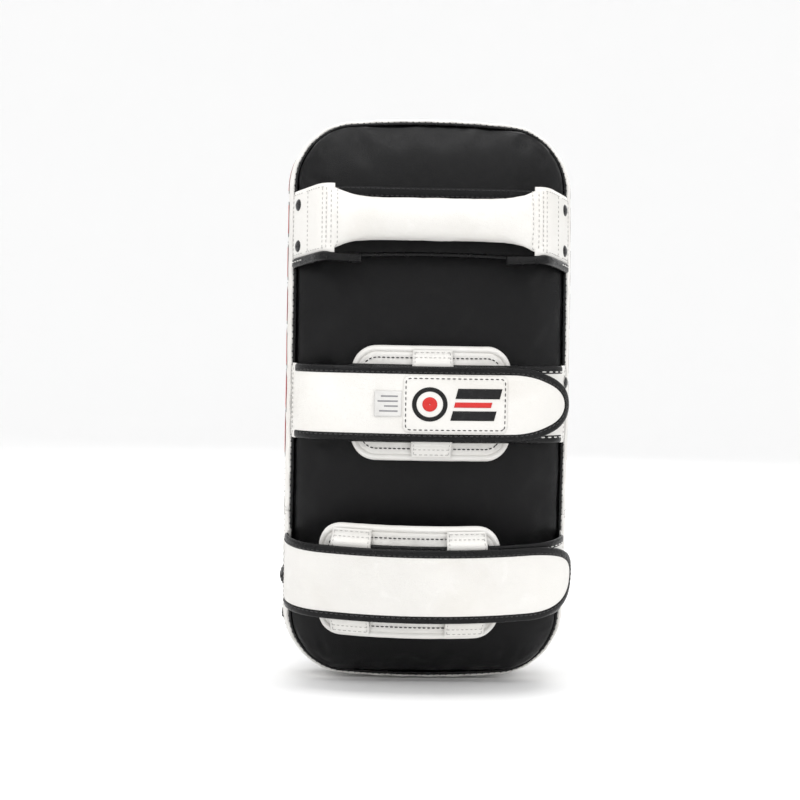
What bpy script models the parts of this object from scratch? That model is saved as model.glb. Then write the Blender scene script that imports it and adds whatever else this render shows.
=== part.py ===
"""Thai pad: a curved strike pad with a laced cover, a padded grip and two forearm straps.

Metres, +Z up. The strike face looks along +Y, the holder's arm lies on the -Y side, and the
straps' free tips point to +X. The pad is bent about an axis along X, so its strike face is hollow.
"""

import math

import bmesh
import bpy
from mathutils import Euler, Matrix, Vector

# ---------------------------------------------------------------- driving dimensions
PAD_HALF_WIDTH = 0.100
PAD_HALF_LENGTH = 0.1973  # along the bend, from mid height to either end
BEND_RADIUS = 0.915  # of the surface half way through the pad
MID_Y = 0.0123  # where that surface stands at mid height
MID_Z = 0.2000
CORNER_RADIUS = 0.042
END_CROWN = 0.008  # how far each end bows out at its middle
BAND_HALF = 0.029  # half the width of the white side band
BAND_WALL = 0.0022
STRIKE_CROWN = 0.023
BACK_CROWN = 0.018
STRIKE_RUN = 0.038  # how far in from the edge the strike face reaches its full height
BACK_RUN = 0.044
STRIKE_INSET = 0.0008
BACK_INSET = 0.0058  # the back panel is smaller than the band around it
COVER_WALL = 0.0016
CORE_HALF = 0.026
GAP = 0.0003  # between pieces that touch on the real pad

SEAM_V = -0.077  # where the upper and lower side bands are joined
SLIT_V = -0.121  # where the laced opening ends, on both sides
SLIT_HALF = 0.0048
TONGUE_HALF = 0.0044
LACE_RADIUS = 0.0011
LACE_HOLE_W = 0.009
LACE_HOLE_RADIUS = 0.0017
LACE_BARS = 12
LACE_PITCH = 0.026
LACE_DOUBLE = 0.0046  # the extra turn beside each end bar

STRAP_SHEET = 0.0024
STRAP_BODY = 0.0015  # thickness of the sheet inside a strap's folded binding
STRAP_EDGE = 0.0030  # thickness over that binding
BINDING_WALL = 0.00045
BINDING = 0.0055
OUTER_HALF = 0.026
INNER_HALF = 0.027
LAYER = 0.0064  # from the inner strap's middle to the outer strap's middle
ROOT = Vector((0.0958, -0.0296))  # where straps enter the back seam
ROOT_TAB = 0.0092  # length of strap that stays sewn down
HINGE_AT = 0.0102  # from the seam to the line a strap folds on
STRAP_START = 0.0128  # from the seam to the part that swings
TIP_SHORT = 0.0125  # from the far seam to the outer strap's tip
PAD_FACE = 0.0020  # from the inner strap's middle to the forearm pad's face
PAD_DEEP = 0.0076
PAD_CORNER = 0.018
KEEPER_HALF = 0.014
PATCH_HALF = (0.0352, 0.0195)
PATCH_S = 0.0155
LABEL_SIZE = (0.0180, 0.0088)

GRIP_V = 0.118
GRIP_Y = -0.0710
GRIP_HALF = 0.0745
GRIP_DEPTH = 0.0125
GRIP_HEIGHT = 0.0165
GRIP_END = (0.0026, 0.0236)
TAB_HALF = 0.024
TAB_CUT_X = 0.0885  # the grip swings on this plane against its sewn roots
RIVET_RADIUS = 0.0043
RIVET_Z = 0.0145
RIVET_HOLE_RADIUS = 0.0021
DRILL_DEPTH = 0.010

BLACK = (0.012, 0.012, 0.013)
WHITE = (0.80, 0.78, 0.75)
FOAM = (0.55, 0.57, 0.60)


for old in list(bpy.data.objects):
    bpy.data.objects.remove(old)
collection = bpy.data.collections.new("thai_pad")
cutters = bpy.data.collections.new("cutters")
bpy.context.scene.collection.children.link(collection)
bpy.context.scene.collection.children.link(cutters)


# ---------------------------------------------------------------- materials
def material(name, color, roughness, metallic=0.0):
    mat = bpy.data.materials.new(name)
    mat.use_nodes = True
    shader = mat.node_tree.nodes["Principled BSDF"]
    shader.inputs["Base Color"].default_value = (*color, 1.0)
    shader.inputs["Roughness"].default_value = roughness
    shader.inputs["Metallic"].default_value = metallic
    return mat


BLACK_LEATHER = material("black_leather", BLACK, 0.42)
WHITE_LEATHER = material("white_leather", WHITE, 0.45)
BLACK_BINDING = material("black_binding", BLACK, 0.35)
LACE_CORD = material("lace_cord", BLACK, 0.85)
TONGUE_CLOTH = material("tongue_cloth", BLACK, 0.8)
FOAM_SHEET = material("foam", FOAM, 0.9)
RIVET_METAL = material("rivet_black", (0.015, 0.015, 0.016), 0.3, 0.9)
HOOK_TAPE = material("hook_tape", (0.02, 0.02, 0.02), 0.95)
LOOP_TAPE = material("loop_tape", (0.03, 0.03, 0.03), 0.98)
LABEL_CLOTH = material("label_cloth", (0.75, 0.74, 0.72), 0.8)


# ---------------------------------------------------------------- placing and bending
def bent(u, v, w):
    """The point u across, v along the bend and w toward the strike face."""
    phi = v / BEND_RADIUS
    reach = BEND_RADIUS - w
    return Vector((u, MID_Y + BEND_RADIUS - reach * math.cos(phi), MID_Z + reach * math.sin(phi)))


def station(name, v):
    """An empty on the pad's middle surface at v, whose Y axis points toward the strike face."""
    empty = bpy.data.objects.new(name, None)
    empty.location = bent(0.0, v, 0.0)
    empty.rotation_euler = Euler((-v / BEND_RADIUS, 0.0, 0.0))
    collection.objects.link(empty)
    return empty


def pivot(name, parent, location):
    """An empty on a joint's axis."""
    empty = bpy.data.objects.new(name, None)
    empty.parent = parent
    empty.location = location
    collection.objects.link(empty)
    return empty


def add(name, bm, mat, parent=None, sharp=40.0):
    """The object that holds bm. Under a parent, bm is in the frame of the parent's station."""
    if parent is not None and parent.parent is not None:
        bmesh.ops.translate(bm, vec=-parent.location, verts=bm.verts)
    mesh = bpy.data.meshes.new(name)
    bm.to_mesh(mesh)
    bm.free()
    mesh.materials.append(mat)
    mesh.shade_smooth()
    mesh.set_sharp_from_angle(angle=math.radians(sharp))
    obj = bpy.data.objects.new(name, mesh)
    obj.parent = parent
    collection.objects.link(obj)
    return obj


def solidify(obj, thickness, offset=0.0):
    shell = obj.modifiers.new("thickness", "SOLIDIFY")
    shell.thickness = thickness
    shell.offset = offset
    shell.use_even_offset = True


def grid(columns, rows, place):
    """A grid of columns by rows faces, whose corner (i, j) is moved to place(i, j)."""
    bm = bmesh.new()
    bmesh.ops.create_grid(bm, x_segments=columns, y_segments=rows, size=1.0)
    cells = {}
    for vert in bm.verts:
        i = round((vert.co.x + 1.0) / 2.0 * columns)
        j = round((vert.co.y + 1.0) / 2.0 * rows)
        cells[vert] = (i, j)
    for vert, (i, j) in cells.items():
        vert.co = place(i, j)
    return bm


def face_away(bm, centre):
    """Turns the open surface so that its normals point away from centre."""
    bm.normal_update()
    total = sum((face.calc_center_median() - centre).dot(face.normal) for face in bm.faces)
    if total < 0.0:
        bmesh.ops.reverse_faces(bm, faces=bm.faces)


def close_outward(bm):
    """Points every face of a closed body out of it."""
    bm.normal_update()
    bmesh.ops.recalc_face_normals(bm, faces=bm.faces)
    if bm.calc_volume(signed=True) < 0.0:
        bmesh.ops.reverse_faces(bm, faces=bm.faces)


def thicken(bm, second):
    """Closes the surface with a copy of it, each point of which is moved to second(point)."""
    bm.normal_update()
    grown = bmesh.ops.extrude_face_region(bm, geom=bm.faces[:])
    for item in grown["geom"]:
        if isinstance(item, bmesh.types.BMVert):
            item.co = second(item.co)
    close_outward(bm)


def drill(name, target, places, radius, sides, parent=None):
    """Round holes through target; places are (point, direction) in the frame of parent."""
    bm = bmesh.new()
    for point, direction in places:
        turn = direction.to_track_quat("Z", "Y").to_matrix().to_4x4()
        bmesh.ops.create_cone(
            bm, cap_ends=True, segments=sides, radius1=radius, radius2=radius, depth=DRILL_DEPTH,
            matrix=Matrix.Translation(point) @ turn,
        )
    mesh = bpy.data.meshes.new(name)
    bm.to_mesh(mesh)
    bm.free()
    cutter = bpy.data.objects.new(name, mesh)
    cutter.parent = parent
    cutter.hide_render = True
    cutter.display_type = "WIRE"
    cutters.objects.link(cutter)
    cut = target.modifiers.new("holes", "BOOLEAN")
    cut.operation = "DIFFERENCE"
    cut.solver = "EXACT"
    cut.object = cutter


# ---------------------------------------------------------------- outlines
def spread(x):
    """Maps -1 to 1 onto itself, with the steps closer together toward both ends."""
    return x * (1.3 - 0.3 * x * x)


def rounded(s, t, half_u, half_v, radius):
    """The square's point (s, t) on a rounded rectangle, ring by ring."""
    ring = max(abs(s), abs(t))
    if ring < 1e-9:
        return 0.0, 0.0
    u, v = half_u * s / ring, half_v * t / ring
    over_u, over_v = abs(u) - (half_u - radius), abs(v) - (half_v - radius)
    if over_u > 0.0 and over_v > 0.0:
        share = over_v / radius if abs(s) >= abs(t) else 2.0 - over_u / radius
        angle = share * math.pi / 4.0
        u = math.copysign(half_u - radius + radius * math.cos(angle), u)
        v = math.copysign(half_v - radius + radius * math.sin(angle), v)
    return ring * u, ring * v


def depth_inside(u, v, half_u, half_v, radius):
    """How far (u, v) lies inside a rounded rectangle."""
    over_u, over_v = abs(u) - (half_u - radius), abs(v) - (half_v - radius)
    outside = math.hypot(max(over_u, 0.0), max(over_v, 0.0))
    return radius - outside - min(max(over_u, over_v), 0.0)


def crowned(u, v):
    """Bows the two ends of the pad's outline."""
    return u, v * (1.0 + END_CROWN / PAD_HALF_LENGTH * (1.0 - (u / PAD_HALF_WIDTH) ** 2))


def pad_shape(inset):
    """The half width, half length and corner radius of the pad's outline, drawn in by inset."""
    return (
        PAD_HALF_WIDTH - inset,
        PAD_HALF_LENGTH - END_CROWN - inset,
        CORNER_RADIUS - inset,
    )


def side_point(s, t, out):
    """A point of the pad's edge, out beyond it along the edge's own normal."""
    half_u, half_v, radius = pad_shape(0.0)
    u, v = rounded(s, t, half_u, half_v, radius)
    core_u = max(-(half_u - radius), min(half_u - radius, u))
    core_v = max(-(half_v - radius), min(half_v - radius, v))
    normal = Vector((u - core_u, v - core_v)).normalized()
    u, v = crowned(u, v)
    return u + out * normal.x, v + out * normal.y


# ---------------------------------------------------------------- the pad's body
def dome(u, v, inset, crown, run):
    """Height of a cover over its seam."""
    half_u, half_v, radius = pad_shape(inset)
    share = min(max(depth_inside(u, v, half_u, half_v, radius), 0.0) / run, 1.0)
    fall = 1.0 - 0.22 * (v / PAD_HALF_LENGTH) ** 2
    return crown * fall * math.sqrt(1.0 - (1.0 - share) ** 2)


def cover(name, side, inset, crown, run):
    """One leather face of the pad; side is +1 on the strike face and -1 on the back."""
    columns, rows = 12, 18
    half_u, half_v, radius = pad_shape(inset)

    def place(i, j):
        s, t = spread(2.0 * i / columns - 1.0), spread(2.0 * j / rows - 1.0)
        u, v = rounded(s, t, half_u, half_v, radius)
        height = dome(u, v, inset, crown, run)
        return bent(*crowned(u, v), side * (BAND_HALF + height))

    bm = grid(columns, rows, place)
    face_away(bm, bent(0.0, 0.0, 0.0))
    solidify(add(name, bm, BLACK_LEATHER), COVER_WALL, -1.0)


def foam_layer(name, inset, low, high):
    """A sheet of foam between the heights low and high, each a function of u and v."""
    columns, rows = 8, 12
    half_u, half_v, radius = pad_shape(inset)
    flat = {}

    def place(i, j):
        s, t = spread(2.0 * i / columns - 1.0), spread(2.0 * j / rows - 1.0)
        u, v = rounded(s, t, half_u, half_v, radius)
        point = Vector((*crowned(u, v), high(u, v)))
        flat[tuple(round(x, 6) for x in point)] = (u, v)
        return point

    bm = grid(columns, rows, place)

    def second(point):
        u, v = flat[min(flat, key=lambda key: (Vector(key) - point).length_squared)]
        return Vector((point.x, point.y, low(u, v)))

    thicken(bm, second)
    for vert in bm.verts:
        vert.co = bent(*vert.co)
    close_outward(bm)
    add(name, bm, FOAM_SHEET)


def under(side, inset, crown, run):
    """The foam's surface just below a cover."""
    room = COVER_WALL + 2.0 * GAP
    own = inset + 0.0035
    return lambda u, v: side * (BAND_HALF - room + dome(u, v, own, crown, run))


def side_stops(start, sign):
    """Places along a side of the square, from start to the corner's middle, on the sign end."""
    corner = 1.0 - CORNER_RADIUS / (PAD_HALF_LENGTH - END_CROWN)
    straight = [start + (sign * corner - start) * k / 6.0 for k in range(6)]
    return straight + [sign * (corner + (1.0 - corner) * k / 3.0) for k in range(4)]


def end_stops():
    """Places along an end of the square, between its corners' middles."""
    corner = 1.0 - CORNER_RADIUS / PAD_HALF_WIDTH
    right = [corner * k / 3.0 for k in range(4)] + [corner + (1.0 - corner) * k / 3.0 for k in (1, 2)]
    return [-x for x in reversed(right[1:])] + right


def edge_path(start, sign):
    """Square places from the -X side at start, round one end of the pad, to the +X side."""
    sides = side_stops(start, sign)
    end = [(s, sign) for s in end_stops()]
    return [(-1.0, t) for t in sides] + end + [(1.0, t) for t in reversed(sides)]


def band_inset(w):
    """The band's own section: it draws in toward both of its seams."""
    back = max(0.0, (-w - 0.0215) / (BAND_HALF - 0.0215))
    front = max(0.0, (w - 0.0245) / (BAND_HALF - 0.0245))
    return 0.0025 * back**1.6 + 0.0010 * front**1.6


BAND_STOPS = [-0.0283, -0.0255, -0.0215, -SLIT_HALF, SLIT_HALF, 0.0240, 0.0279]


def band(name, path, slit=None):
    """A strip of the side band along path, with the middle cells in slit left open."""
    columns, rows = len(path) - 1, len(BAND_STOPS) - 1

    def place(i, j):
        w = BAND_STOPS[j]
        return bent(*side_point(*path[i], -band_inset(w)), w)

    bm = grid(columns, rows, place)
    if slit is not None:
        middle = BAND_STOPS.index(SLIT_HALF)
        first, last = slit
        edges = {}
        for i in range(columns + 1):
            for j in (middle - 1, middle):
                edges[(i, j)] = place(i, j)
        gone = []
        for face in bm.faces:
            centre = face.calc_center_median()
            for i in range(first, last):
                corners = [edges[(a, b)] for a in (i, i + 1) for b in (middle - 1, middle)]
                if (sum(corners, Vector()) / 4.0 - centre).length < 1e-6:
                    gone.append(face)
        bmesh.ops.delete(bm, geom=gone, context="FACES")
    face_away(bm, bent(0.0, 0.0, 0.0))
    obj = add(name, bm, WHITE_LEATHER)
    solidify(obj, BAND_WALL, -1.0)
    return obj


def square_t(v):
    """The square's place of a point on the pad's straight side."""
    return v / (PAD_HALF_LENGTH - END_CROWN)


def fine_bottom(step):
    """Points round the laced end, step apart, as (distance, u, v, normal); 0 is at its middle."""
    stops = []
    count = 900
    start = square_t(SEAM_V)
    loop = [(1.0, start + (-1.0 - start) * k / count) for k in range(count + 1)]
    loop = [(s, -1.0) for s in (k / count for k in range(count))] + list(reversed(loop))
    length, last = 0.0, None
    for s, t in loop:
        here = Vector(side_point(s, t, 0.0))
        if last is not None:
            length += (here - last).length
        if last is None or length >= len(stops) * step:
            beyond = Vector(side_point(s, t, 0.001))
            stops.append((length, here, (beyond - here).normalized()))
        last = here
    return stops


BOTTOM_STEP = 0.001
BOTTOM = fine_bottom(BOTTOM_STEP)


def at_bottom(distance, w, out):
    """A point round the laced end; distance is signed, from the middle toward +X."""
    place = min(abs(distance) / BOTTOM_STEP, len(BOTTOM) - 1.001)
    k, share = int(place), place % 1.0
    _, a, na = BOTTOM[k]
    _, b, nb = BOTTOM[k + 1]
    point = a.lerp(b, share) + na.lerp(nb, share).normalized() * out
    return bent(math.copysign(1.0, distance) * point.x if distance else 0.0, point.y, w)


def tongue_reach():
    """The distance from the end's middle to the top of the slit."""
    return next(length for length, point, _ in BOTTOM if point.y > SLIT_V)


def tongue():
    """The padded black tongue that shows through the slit, from one side round to the other."""
    reach = tongue_reach() - 0.001
    columns, rows = 40, 4
    top, middle, bottom = -0.0008, -0.0033, -0.0058

    def section(j, high):
        angle = math.pi * j / rows
        w = -TONGUE_HALF * math.cos(angle)
        lift = (top - middle) if high else (bottom - middle)
        return w, middle + lift * math.sin(angle)

    places = {}

    def place(i, j):
        distance = reach * (2.0 * i / columns - 1.0)
        w, out = section(j, True)
        taper = 1.0 if 0 < i < columns else 0.6
        point = at_bottom(distance, w * taper, out)
        places[tuple(round(x, 6) for x in point)] = (distance, j, taper)
        return point

    bm = grid(columns, rows, place)

    def second(point):
        key = min(places, key=lambda k: (Vector(k) - point).length_squared)
        distance, j, taper = places[key]
        if j in (0, rows):
            j_in = 1 if j == 0 else rows - 1
            w_edge, _ = section(j, False)
            _, out = section(j_in, False)
            return at_bottom(distance, w_edge * taper * 0.92, middle + 0.4 * (out - middle))
        w, out = section(j, False)
        return at_bottom(distance, w * taper, out)

    thicken(bm, second)
    add("lacing_tongue", bm, TONGUE_CLOTH)


def bar_places():
    """Where the lace crosses the slit, from the -X side to the +X side."""
    half = (LACE_BARS - 1) / 2.0
    bars = [(k - half) * LACE_PITCH for k in range(LACE_BARS)]
    return [bars[0] - LACE_DOUBLE, *bars, bars[-1] + LACE_DOUBLE]


def lace():
    """One cord, over the tongue at each bar and back under it to the next pair of holes."""
    over, under_wall, under_tongue = 0.0014, -0.0044, -0.0074
    points = []
    bars = bar_places()
    hole = LACE_HOLE_W
    for k, bar in enumerate(bars):
        points += [at_bottom(bar, w, out) for w, out in (
            (-hole, under_wall), (-hole, -0.0011), (-hole + 0.0004, 0.0007), (-hole + 0.0018, over),
            (0.0, over + 0.0001), (hole - 0.0018, over), (hole - 0.0004, 0.0007),
            (hole, -0.0011), (hole, under_wall),
        )]
        if k + 1 < len(bars):
            ahead = bars[k + 1] - bar
            points += [at_bottom(bar + ahead * share, w, out) for share, w, out in (
                (0.2, 0.0062, under_tongue), (0.5, 0.0, under_tongue), (0.8, -0.0062, under_tongue),
            )]
    data = bpy.data.curves.new("lace", "CURVE")
    data.dimensions = "3D"
    data.bevel_depth = LACE_RADIUS
    data.bevel_resolution = 0
    data.use_fill_caps = True
    spline = data.splines.new("POLY")
    spline.points.add(len(points) - 1)
    for target, point in zip(spline.points, points):
        target.co = (*point, 1.0)
    data.materials.append(LACE_CORD)
    collection.objects.link(bpy.data.objects.new("lace", data))


def lace_holes(target):
    """Cuts the pairs of holes that the lace goes through."""
    places = []
    for bar in bar_places():
        for w in (-LACE_HOLE_W, LACE_HOLE_W):
            inner, outer = at_bottom(bar, w, -0.006), at_bottom(bar, w, 0.004)
            places.append(((inner + outer) / 2.0, outer - inner))
    drill("lace_hole_cutter", target, places, LACE_HOLE_RADIUS, 8)


def pad_body():
    cover("strike_cover", 1.0, STRIKE_INSET, STRIKE_CROWN, STRIKE_RUN)
    cover("back_cover", -1.0, BACK_INSET, BACK_CROWN, BACK_RUN)
    seam = square_t(SEAM_V)
    band("gusset_upper", edge_path(seam + 0.002, 1.0))
    path = edge_path(seam, -1.0)
    slit_t = square_t(SLIT_V)
    sides = [k for k, (s, t) in enumerate(path) if abs(s) == 1.0 and abs(t - slit_t) < 0.06]
    first, last = min(sides), max(sides)
    path[first], path[last] = (-1.0, slit_t), (1.0, slit_t)
    lower = band("gusset_lower", path, (first, last))
    lace_holes(lower)
    tongue()
    lace()
    inside = 0.0105
    foam_layer("foam_core", inside, lambda u, v: -CORE_HALF, lambda u, v: CORE_HALF)
    strike = under(1.0, STRIKE_INSET, STRIKE_CROWN, STRIKE_RUN)
    back = under(-1.0, BACK_INSET, BACK_CROWN, BACK_RUN)
    foam_layer("foam_strike_layer", 0.0045, lambda u, v: CORE_HALF + GAP, strike)
    foam_layer("foam_back_layer", 0.0095, lambda u, v: -CORE_HALF - GAP, back)


# ---------------------------------------------------------------- the grip
def plan_strip(name, path, thickness, low, high, mat, parent, cuts=(None, None)):
    """A strip of sheet on edge: path is its plan, and cuts are the X planes its ends stop at."""
    points = [Vector(point) for point in path]
    sides = []
    for side in (0.5, -0.5):
        line = []
        for k, point in enumerate(points):
            before = (point - points[k - 1]).normalized() if k else None
            after = (points[k + 1] - point).normalized() if k + 1 < len(points) else None
            along = ((before or after) + (after or before)).normalized()
            normal = Vector((-along.y, along.x))
            stretch = 1.0 / max(normal.dot(Vector((-(after or before).y, (after or before).x))), 0.5)
            moved = point + normal * side * thickness * stretch
            cut = cuts[0] if k == 0 else cuts[1] if k + 1 == len(points) else None
            if cut is not None:
                moved += along * (cut - moved.x) / along.x
            line.append(moved)
        sides.append(line)
    outline = sides[0] + list(reversed(sides[1]))
    bm = bmesh.new()
    verts = [bm.verts.new((p.x, p.y, low)) for p in outline]
    count = len(points)
    for k in range(count - 1):
        bm.faces.new((verts[k], verts[k + 1], verts[2 * count - 2 - k], verts[2 * count - 1 - k]))
    thicken(bm, lambda point: Vector((point.x, point.y, high)))
    return add(name, bm, mat, parent, 30.0)


TAB_ROOT = [ROOT, Vector((0.0955, -0.0335)), Vector((TAB_CUT_X, -0.0492))]
TAB_END = Vector((GRIP_HALF + 0.0022, GRIP_Y))


def mirrored(path, side):
    return [(side * point[0], point[1]) for point in path]


def rivet(name, location, direction, shank, parent):
    """A domed cap rivet with its tail: a turned profile whose axis points along direction."""
    profile = [
        (0.0, 0.0019), (0.0014, 0.0018), (0.0028, 0.0014), (RIVET_RADIUS - 0.0004, 0.0008),
        (RIVET_RADIUS, GAP), (0.0017, GAP), (0.0017, -shank), (0.0034, -shank),
        (0.0034, -shank - 0.0007), (0.0, -shank - 0.0007),
    ]
    bm = bmesh.new()
    verts = [bm.verts.new((x, 0.0, z)) for x, z in profile]
    for a, b in zip(verts, verts[1:]):
        bm.edges.new((a, b))
    obj = add(name, bm, RIVET_METAL, parent)
    turn = obj.modifiers.new("turn", "SCREW")
    turn.steps = turn.render_steps = 16
    turn.use_merge_vertices = True
    turn.merge_threshold = 0.00001
    turn.use_smooth_shade = True
    obj.location = location
    obj.rotation_euler = direction.to_track_quat("Z", "Y").to_euler()
    return obj


def roll(name, half, grow, mat, parent, hollow=None):
    """The grip's padded roll, flattened toward both ends; hollow leaves a wall of that thickness."""
    rings, sides = 14, 14

    def radii(x, out):
        full = math.cos(min(abs(x) / GRIP_HALF, 1.0) ** 3 * math.pi / 2.0)
        depth = GRIP_END[0] + (GRIP_DEPTH - GRIP_END[0]) * full + out
        height = GRIP_END[1] + (GRIP_HEIGHT - GRIP_END[1]) * full + out
        return depth, height

    bm = bmesh.new()
    bmesh.ops.create_cone(bm, cap_ends=hollow is None, segments=sides, radius1=1.0, radius2=1.0, depth=2.0)
    bmesh.ops.subdivide_edges(
        bm, edges=[e for e in bm.edges if abs(e.verts[0].co.z - e.verts[1].co.z) > 1.0],
        cuts=rings - 1, use_grid_fill=False,
    )
    for vert in bm.verts:
        share = math.copysign(1.0 - (1.0 - abs(vert.co.z)) ** 1.25, vert.co.z)
        depth, height = radii(share * half, grow)
        vert.co = Vector((share * half, GRIP_Y + vert.co.x * depth, vert.co.y * height))
    if hollow is None:
        close_outward(bm)
    else:
        face_away(bm, Vector((0.0, GRIP_Y, 0.0)))
    obj = add(name, bm, mat, parent)
    if hollow is not None:
        solidify(obj, hollow, -1.0)
    return obj


def grip():
    place = station("grip_station", GRIP_V)
    swing = pivot("grip_swing_axis", place, (0.0, TAB_ROOT[-1].y, 0.0))
    edge_low = -TAB_HALF - GAP
    for side, word in ((-1.0, "left"), (1.0, "right")):
        root = plan_strip(
            f"grip_root_{word}", mirrored(TAB_ROOT, side), STRAP_SHEET, -TAB_HALF, TAB_HALF,
            WHITE_LEATHER, place, (None, side * TAB_CUT_X),
        )
        plan_strip(
            f"grip_root_binding_{word}", mirrored(TAB_ROOT, side), 0.0034, edge_low - 0.0055, edge_low,
            BLACK_BINDING, place, (None, side * TAB_CUT_X),
        )
        free = [TAB_ROOT[-1], TAB_END]
        plan_strip(
            f"grip_tab_{word}", mirrored(free, side), STRAP_SHEET, -TAB_HALF, TAB_HALF,
            WHITE_LEATHER, swing, (side * (TAB_CUT_X - GAP), side * TAB_END.x),
        )
        start, end = TAB_ROOT[1], TAB_ROOT[2]
        along = (end - start).normalized()
        middle = start + along * 0.0075
        out = Vector((side * -along.y, along.x, 0.0))
        if out.x * side < 0.0:
            out = -out
        holes = []
        for high, name in ((1.0, "upper"), (-1.0, "lower")):
            centre = Vector((side * middle.x, middle.y, high * RIVET_Z - 0.001))
            holes.append((centre, out))
            rivet(
                f"grip_rivet_{word}_{name}", centre + out * (STRAP_SHEET / 2.0), out,
                STRAP_SHEET + GAP, place,
            )
        drill(f"grip_hole_cutter_{word}", root, holes, RIVET_HOLE_RADIUS, 16, place)
    roll("grip_cover", GRIP_HALF, 0.0, WHITE_LEATHER, swing, 0.0014)
    roll("grip_core", GRIP_HALF - 0.018, -0.0020, FOAM_SHEET, swing)
    behind = GRIP_Y + GRIP_DEPTH + 0.0012
    backing = [(-0.0700, GRIP_Y + 0.0072), (-0.0580, behind - 0.0014), (-0.0420, behind), (0.0420, behind),
               (0.0580, behind - 0.0014), (0.0700, GRIP_Y + 0.0072)]
    plan_strip("grip_backing", backing, 0.0014, -0.0262, 0.0100, BLACK_LEATHER, swing)
    low = [(TAB_ROOT[-1].x, TAB_ROOT[-1].y), (TAB_END.x, TAB_END.y), (0.0640, GRIP_Y + 0.0030),
           (0.0480, GRIP_Y + 0.0060)]
    lower = mirrored(low, -1.0) + list(reversed(low))
    cut = TAB_CUT_X - GAP
    plan_strip(
        "grip_binding", lower, 0.0034, edge_low - 0.0055, edge_low, BLACK_BINDING, swing, (-cut, cut)
    )


# ---------------------------------------------------------------- the forearm straps
class Arch:
    """The plan of a strap over the forearm: a wide middle arc and a tighter arc at each side.

    Offset 0 is the middle of the inner strap's sheet and LAYER the middle of the outer strap's.
    s is the length along offset 0 from X = 0. The outer strap leaves the seam at -X, the inner
    one at +X.
    """

    def __init__(self, apex, radius, half_left, half_right):
        self.radius = radius
        self.centre = Vector((0.0, radius - apex))
        self.left_angle = math.asin(half_left / radius)
        self.right_angle = math.asin(half_right / radius)
        self.right = self.side_arc(self.right_angle, ROOT, 0.0)
        self.left = self.side_arc(-self.left_angle, Vector((-ROOT.x, ROOT.y)), LAYER)
        self.right_end = radius * self.right_angle + self.right[1] * (self.right[2] - self.right_angle)
        self.left_end = -radius * self.left_angle - self.left[1] * (-self.left_angle - self.left[2])

    def side_arc(self, angle, root, offset):
        """The centre, radius at offset 0 and last angle of the arc from the middle arc to root."""
        normal = Vector((math.sin(angle), -math.cos(angle)))
        start = self.centre + normal * (self.radius + offset)
        reach = root - start
        size = -reach.length_squared / (2.0 * reach.dot(normal))
        centre = start - normal * size
        last = root - centre
        return centre, size - offset, math.atan2(last.x, -last.y)

    def angle(self, s):
        """The direction of the surface's normal at s, and the arc that s lies on."""
        middle_right, middle_left = self.radius * self.right_angle, -self.radius * self.left_angle
        if s > middle_right:
            return self.right_angle + (s - middle_right) / self.right[1], self.right
        if s < middle_left:
            return -self.left_angle + (s - middle_left) / self.left[1], self.left
        return s / self.radius, (self.centre, self.radius, None)

    def point(self, s, z, offset):
        angle, (centre, size, _) = self.angle(s)
        reach = size + offset
        return Vector((centre.x + reach * math.sin(angle), centre.y - reach * math.cos(angle), z))

    def normal(self, s):
        angle, _ = self.angle(s)
        return Vector((math.sin(angle), -math.cos(angle), 0.0))

    def from_left(self, length):
        """s at a length of outer strap from the -X seam."""
        return self.left_end + length * self.left[1] / (self.left[1] + LAYER)

    def from_right(self, length):
        """s at a length of inner strap from the +X seam."""
        return self.right_end - length


def strap_sheet(name, arch, start, centre, taper, half, offset, thickness, mat, parent):
    """A strap's flat body from start to a rounded tip, an ellipse about centre that is taper long."""
    run, tip, rows = 26, 14, 4
    last = math.radians(84.0)  # as fine as the binding's steps

    def place(i, j):
        angle = max(i - run, 0) * last / tip
        s = start + (centre - start) * min(i / run, 1.0) + taper * math.sin(angle)
        return arch.point(s, half * math.cos(angle) * (2.0 * j / rows - 1.0), offset)

    bm = grid(run + tip, rows, place)
    face_away(bm, Vector())
    solidify(add(name, bm, mat, parent), thickness)


def strap_binding(name, arch, start, centre, taper, half, offset, parent):
    """The binding folded over a strap's edge: up one side, round the tip and back down the other."""
    run, tip = 26, 30
    route = [(k / run, 0.0) for k in range(run)]
    route += [(1.0, math.pi * k / tip) for k in range(tip + 1)]
    route += [((run - 1 - k) / run, math.pi) for k in range(run)]
    high, low = STRAP_EDGE / 2.0, STRAP_EDGE / 2.0 - BINDING_WALL
    section = [(BINDING, high), (0.0, high), (0.0, -high), (BINDING, -high),
               (BINDING, -low), (BINDING_WALL, -low), (BINDING_WALL, low), (BINDING, low)]
    bm = bmesh.new()
    rings = []
    for share, angle in route:
        ring = []
        for drawn, shift in section:
            s = start + (centre - start) * share
            if share == 1.0:
                s = centre + math.copysign(abs(taper) - drawn, taper) * math.sin(angle)
            ring.append(bm.verts.new(arch.point(s, (half - drawn) * math.cos(angle), offset + shift)))
        rings.append(ring)
    count = len(section)
    for ring, after in zip(rings, rings[1:]):
        for k in range(count):
            n = (k + 1) % count
            bm.faces.new((ring[k], ring[n], after[n], after[k]))
    for ring in (rings[0], rings[-1]):
        for corners in ((0, 1, 6, 7), (1, 2, 5, 6), (2, 3, 4, 5)):
            bm.faces.new([ring[k] for k in corners])
    close_outward(bm)
    add(name, bm, BLACK_BINDING, parent)


def arch_patch(name, arch, centre_s, half_s, half_z, radius, offset, thickness, mat, parent, cells=(10, 6)):
    """A rounded rectangle of sheet that follows the arch."""
    columns, rows = cells

    def place(i, j):
        s, z = rounded(2.0 * i / columns - 1.0, 2.0 * j / rows - 1.0, half_s, half_z, radius)
        return arch.point(centre_s + s, z, offset)

    bm = grid(columns, rows, place)
    face_away(bm, Vector())
    solidify(add(name, bm, mat, parent), thickness)


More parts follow.
